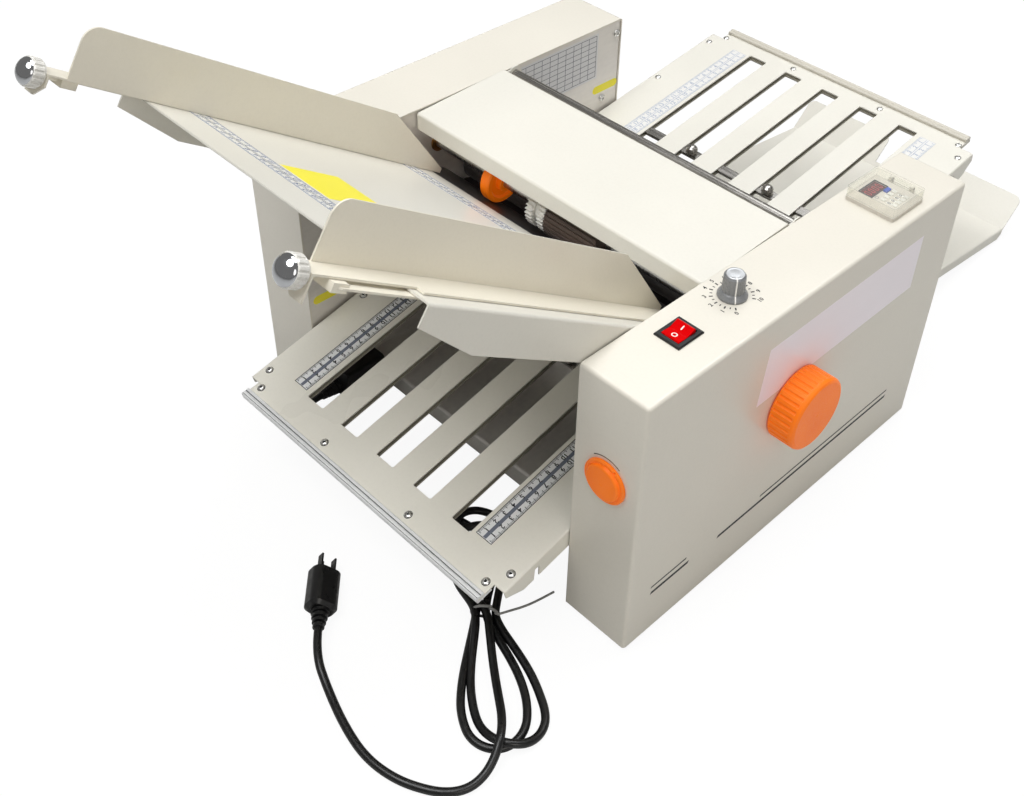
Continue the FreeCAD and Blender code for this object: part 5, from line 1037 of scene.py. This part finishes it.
BACK_LOOP_TWO = [
    (138.0, -51.5, 3.5), (129.0, -40.5, 3.5), (119.5, -28.5, 3.5), (110.0, -16.5, 5.0),
    (102.4, -4.8, 8.5), (92.2, 6.0, 10.7), (79.7, 9.7, 10.7), (67.2, 6.4, 10.7),
    (58.6, -2.4, 10.7), (55.4, -14.5, 10.7), (58.8, -26.8, 10.7), (68.4, -37.6, 10.7),
    (82.0, -45.0, 10.5), (98.0, -51.0, 10.5), (115.0, -54.5, 11.0),
]
MIDDLE_RUN = [
    (134.5, -56.5, 10.0), (151.0, -69.0, 8.5), (169.5, -83.0, 6.0), (187.0, -95.5, 6.5),
    (202.0, -106.0, 10.0), (214.5, -115.0, 14.5), (225.0, -124.5, 17.7), (232.5, -134.0, 17.7),
    (237.7, -144.5, 12.0), (240.0, -156.0, 6.8),
]
TAIL_ROUTE = [
    (238.8, -168.5, 4.0), (232.6, -180.5, 3.5), (220.5, -191.5, 3.5), (196.0, -204.0, 3.5),
    (166.0, -209.0, 3.5), (134.0, -204.0, 3.5), (100.0, -194.0, 4.5), (71.8, -184.1, 13.05),
    (54.0, -168.0, 13.05),
]
CORD_POINTS = (LEAD_ROUTE + FIRST_TURN + BACK_LOOP_ONE + SECOND_TURN + BACK_LOOP_TWO + MIDDLE_RUN
               + TAIL_ROUTE)


def curve_object(name, points, radius, order=3, resolution=10):
    """Round smooth curve through the control points of one open NURBS spline."""
    data = bpy.data.curves.new(name, "CURVE")
    data.dimensions = "3D"
    data.bevel_depth = radius * MM
    data.bevel_resolution = 5
    data.use_fill_caps = True
    data.resolution_u = resolution
    spline = data.splines.new("NURBS")
    spline.points.add(len(points) - 1)
    for slot, point in zip(spline.points, points):
        slot.co = (*at(*point), 1.0)
    spline.order_u = order
    spline.use_endpoint_u = True
    return add_object(name, data)


def add_cord():
    """The mains cord as one spline in place of its three CAD tubes."""
    cord = curve_object("mains_cord", CORD_POINTS, CORD_D / 2)
    cord.data.materials.append(MATERIALS["cord_black"])
    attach(cord, "machine")
    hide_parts("mains_cord_lead", "mains_cord_hank", "mains_cord_tail")


TIE_AT = (132.0, -57.0)
TIE_TURN = math.radians(38.0)
TIE_HALF = 11.3
TIE_TOP = 14.6
TIE_WIRE_R = 1.25
TIE_END_R = 1.0


def tie_point(u, w, z):
    """Point at u across the hank's waist, w along it and z up."""
    return (TIE_AT[0] + u * math.cos(TIE_TURN) - w * math.sin(TIE_TURN),
            TIE_AT[1] + u * math.sin(TIE_TURN) + w * math.cos(TIE_TURN), z)


def add_tie():
    """Wire tie: a hoop around the strands and its long loose end standing off to the side."""
    hoop = [(6.0, 0.8, TIE_TOP), (0.0, 0.3, TIE_TOP + 0.6), (-6.5, 0.0, TIE_TOP - 0.3),
            (-TIE_HALF, -0.3, 9.0), (-TIE_HALF, 0.0, 3.4), (-8.0, 0.2, TIE_WIRE_R),
            (0.0, 0.0, TIE_WIRE_R), (8.0, 0.0, TIE_WIRE_R), (TIE_HALF, 0.0, 4.0),
            (TIE_HALF - 0.3, -0.6, 8.6), (7.5, -1.2, TIE_TOP - 1.0), (4.0, -1.4, TIE_TOP + 0.8)]
    end = [(139.5, -52.6, 9.5), (141.5, -53.2, 9.0), (146.0, -42.7, 9.0), (151.1, -31.5, 9.0),
           (154.8, -18.8, 9.0), (158.0, -2.0, 9.2)]
    ring = curve_object("cord_tie_hoop", [tie_point(*p) for p in hoop], TIE_WIRE_R, resolution=8)
    tail = curve_object("cord_tie_end", end, TIE_END_R, resolution=8)
    for obj in (ring, tail):
        obj.data.materials.append(TIE_WIRE)
        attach(obj, "machine")
    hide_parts("cord_tie")


# ---- floor, world and lamps ----------------------------------------------------------------------
FLOOR_GAP = 0.0002
FLOOR_SIZE = 14.0
FLOOR_GLOW = 1.09
FLOOR_SHARE = 0.85


def seen_directly(tree):
    """1 for rays that show the surroundings: from the camera, in gloss and through glass."""
    path = tree.nodes.new("ShaderNodeLightPath")
    total = tree.nodes.new("ShaderNodeMath")
    total.operation = "MAXIMUM"
    tree.links.new(path.outputs["Is Camera Ray"], total.inputs[0])
    tree.links.new(path.outputs["Is Transmission Ray"], total.inputs[1])
    return total


def add_floor():
    """White paper under the machine: it glows for the camera and still takes shadows."""
    bm = bmesh.new()
    half = FLOOR_SIZE / 2
    bm.faces.new([bm.verts.new((x * half, y * half, -FLOOR_GAP))
                  for x, y in ((-1, -1), (1, -1), (1, 1), (-1, 1))])
    mesh = mesh_from(bm, "floor")
    floor = add_object("floor", mesh)
    s = Shader("floor_paper")
    tooth = s.noise(300.0, 2.0)
    base = s.ramp(tooth, "Fac", [(0.3, (0.60, 0.60, 0.59, 1.0)), (0.7, (0.63, 0.63, 0.62, 1.0))])
    s.link(base, "Color", s.main, "Base Color")
    s.put(Roughness=0.9, Specular_IOR_Level=0.1)
    glow = s.node("ShaderNodeEmission")
    glow.inputs["Color"].default_value = (1.0, 1.0, 1.0, 1.0)
    glow.inputs["Strength"].default_value = FLOOR_GLOW
    share = s.node("ShaderNodeMath", operation="MULTIPLY")
    share.inputs[1].default_value = FLOOR_SHARE
    s.tree.links.new(seen_directly(s.tree).outputs[0], share.inputs[0])
    s.blend(share, glow, "Emission")
    mesh.materials.append(s.material)


WORLD_STRENGTH = 0.235


def add_world():
    """Warm dim light all round, with plain white where the camera looks past the machine."""
    world = bpy.data.worlds.new("studio")
    bpy.context.scene.world = world
    world.use_nodes = True
    tree = world.node_tree
    tree.nodes.clear()
    output = tree.nodes.new("ShaderNodeOutputWorld")
    plain = tree.nodes.new("ShaderNodeBackground")
    plain.inputs["Color"].default_value = (1.0, 0.98, 0.945, 1.0)
    plain.inputs["Strength"].default_value = WORLD_STRENGTH
    white = tree.nodes.new("ShaderNodeBackground")
    white.inputs["Color"].default_value = (1.0, 1.0, 1.0, 1.0)
    white.inputs["Strength"].default_value = 1.0
    blend = tree.nodes.new("ShaderNodeMixShader")
    tree.links.new(seen_directly(tree).outputs[0], blend.inputs[0])
    tree.links.new(plain.outputs[0], blend.inputs[1])
    tree.links.new(white.outputs[0], blend.inputs[2])
    tree.links.new(blend.outputs[0], output.inputs["Surface"])


LAMPS = {
    # name: (place, aimed at, size, watts, colour)
    "key_lamp": ((-0.1, 0.9, 2.6), (0.0, 0.0, 0.2), 2.2, 44.0, (0.97, 0.985, 1.0)),
    "high_lamp": ((-0.1, -1.2, 2.85), (0.0, 0.0, 0.15), 1.8, 46.0, (0.98, 0.99, 1.0)),
    "fill_lamp": ((2.4, -1.0, 1.5), (0.1, 0.0, 0.15), 1.6, 12.0, (1.0, 0.965, 0.91)),
}


def add_lamps():
    """Round studio lamps."""
    for name, (place, aim, size, watts, colour) in LAMPS.items():
        data = bpy.data.lights.new(name, "AREA")
        data.shape = "DISK"
        data.size = size
        data.energy = watts
        data.color = colour
        lamp = add_object(name, data)
        lamp.location = place
        lamp.rotation_euler = (Vector(aim) - Vector(place)).to_track_quat("-Z", "Y").to_euler()


def main():
    """Dress the frame and build the set."""
    add_camera()
    add_world()
    add_lamps()
    add_floor()
    dress_nodes()
    add_cord()
    add_tie()
    add_rulers()
    add_side_prints()
    add_front_prints()
    add_dial()
    add_speed_knob_trim()
    add_rocker_marks()
    add_counter_face()
    add_edge_bar_groove_shade()
    add_screw_sockets()
    add_wheel_centre()
    add_inner_prints()
    add_table_patch()
    add_knob_domes()
    bpy.context.scene.view_settings.view_transform = "Standard"


main()
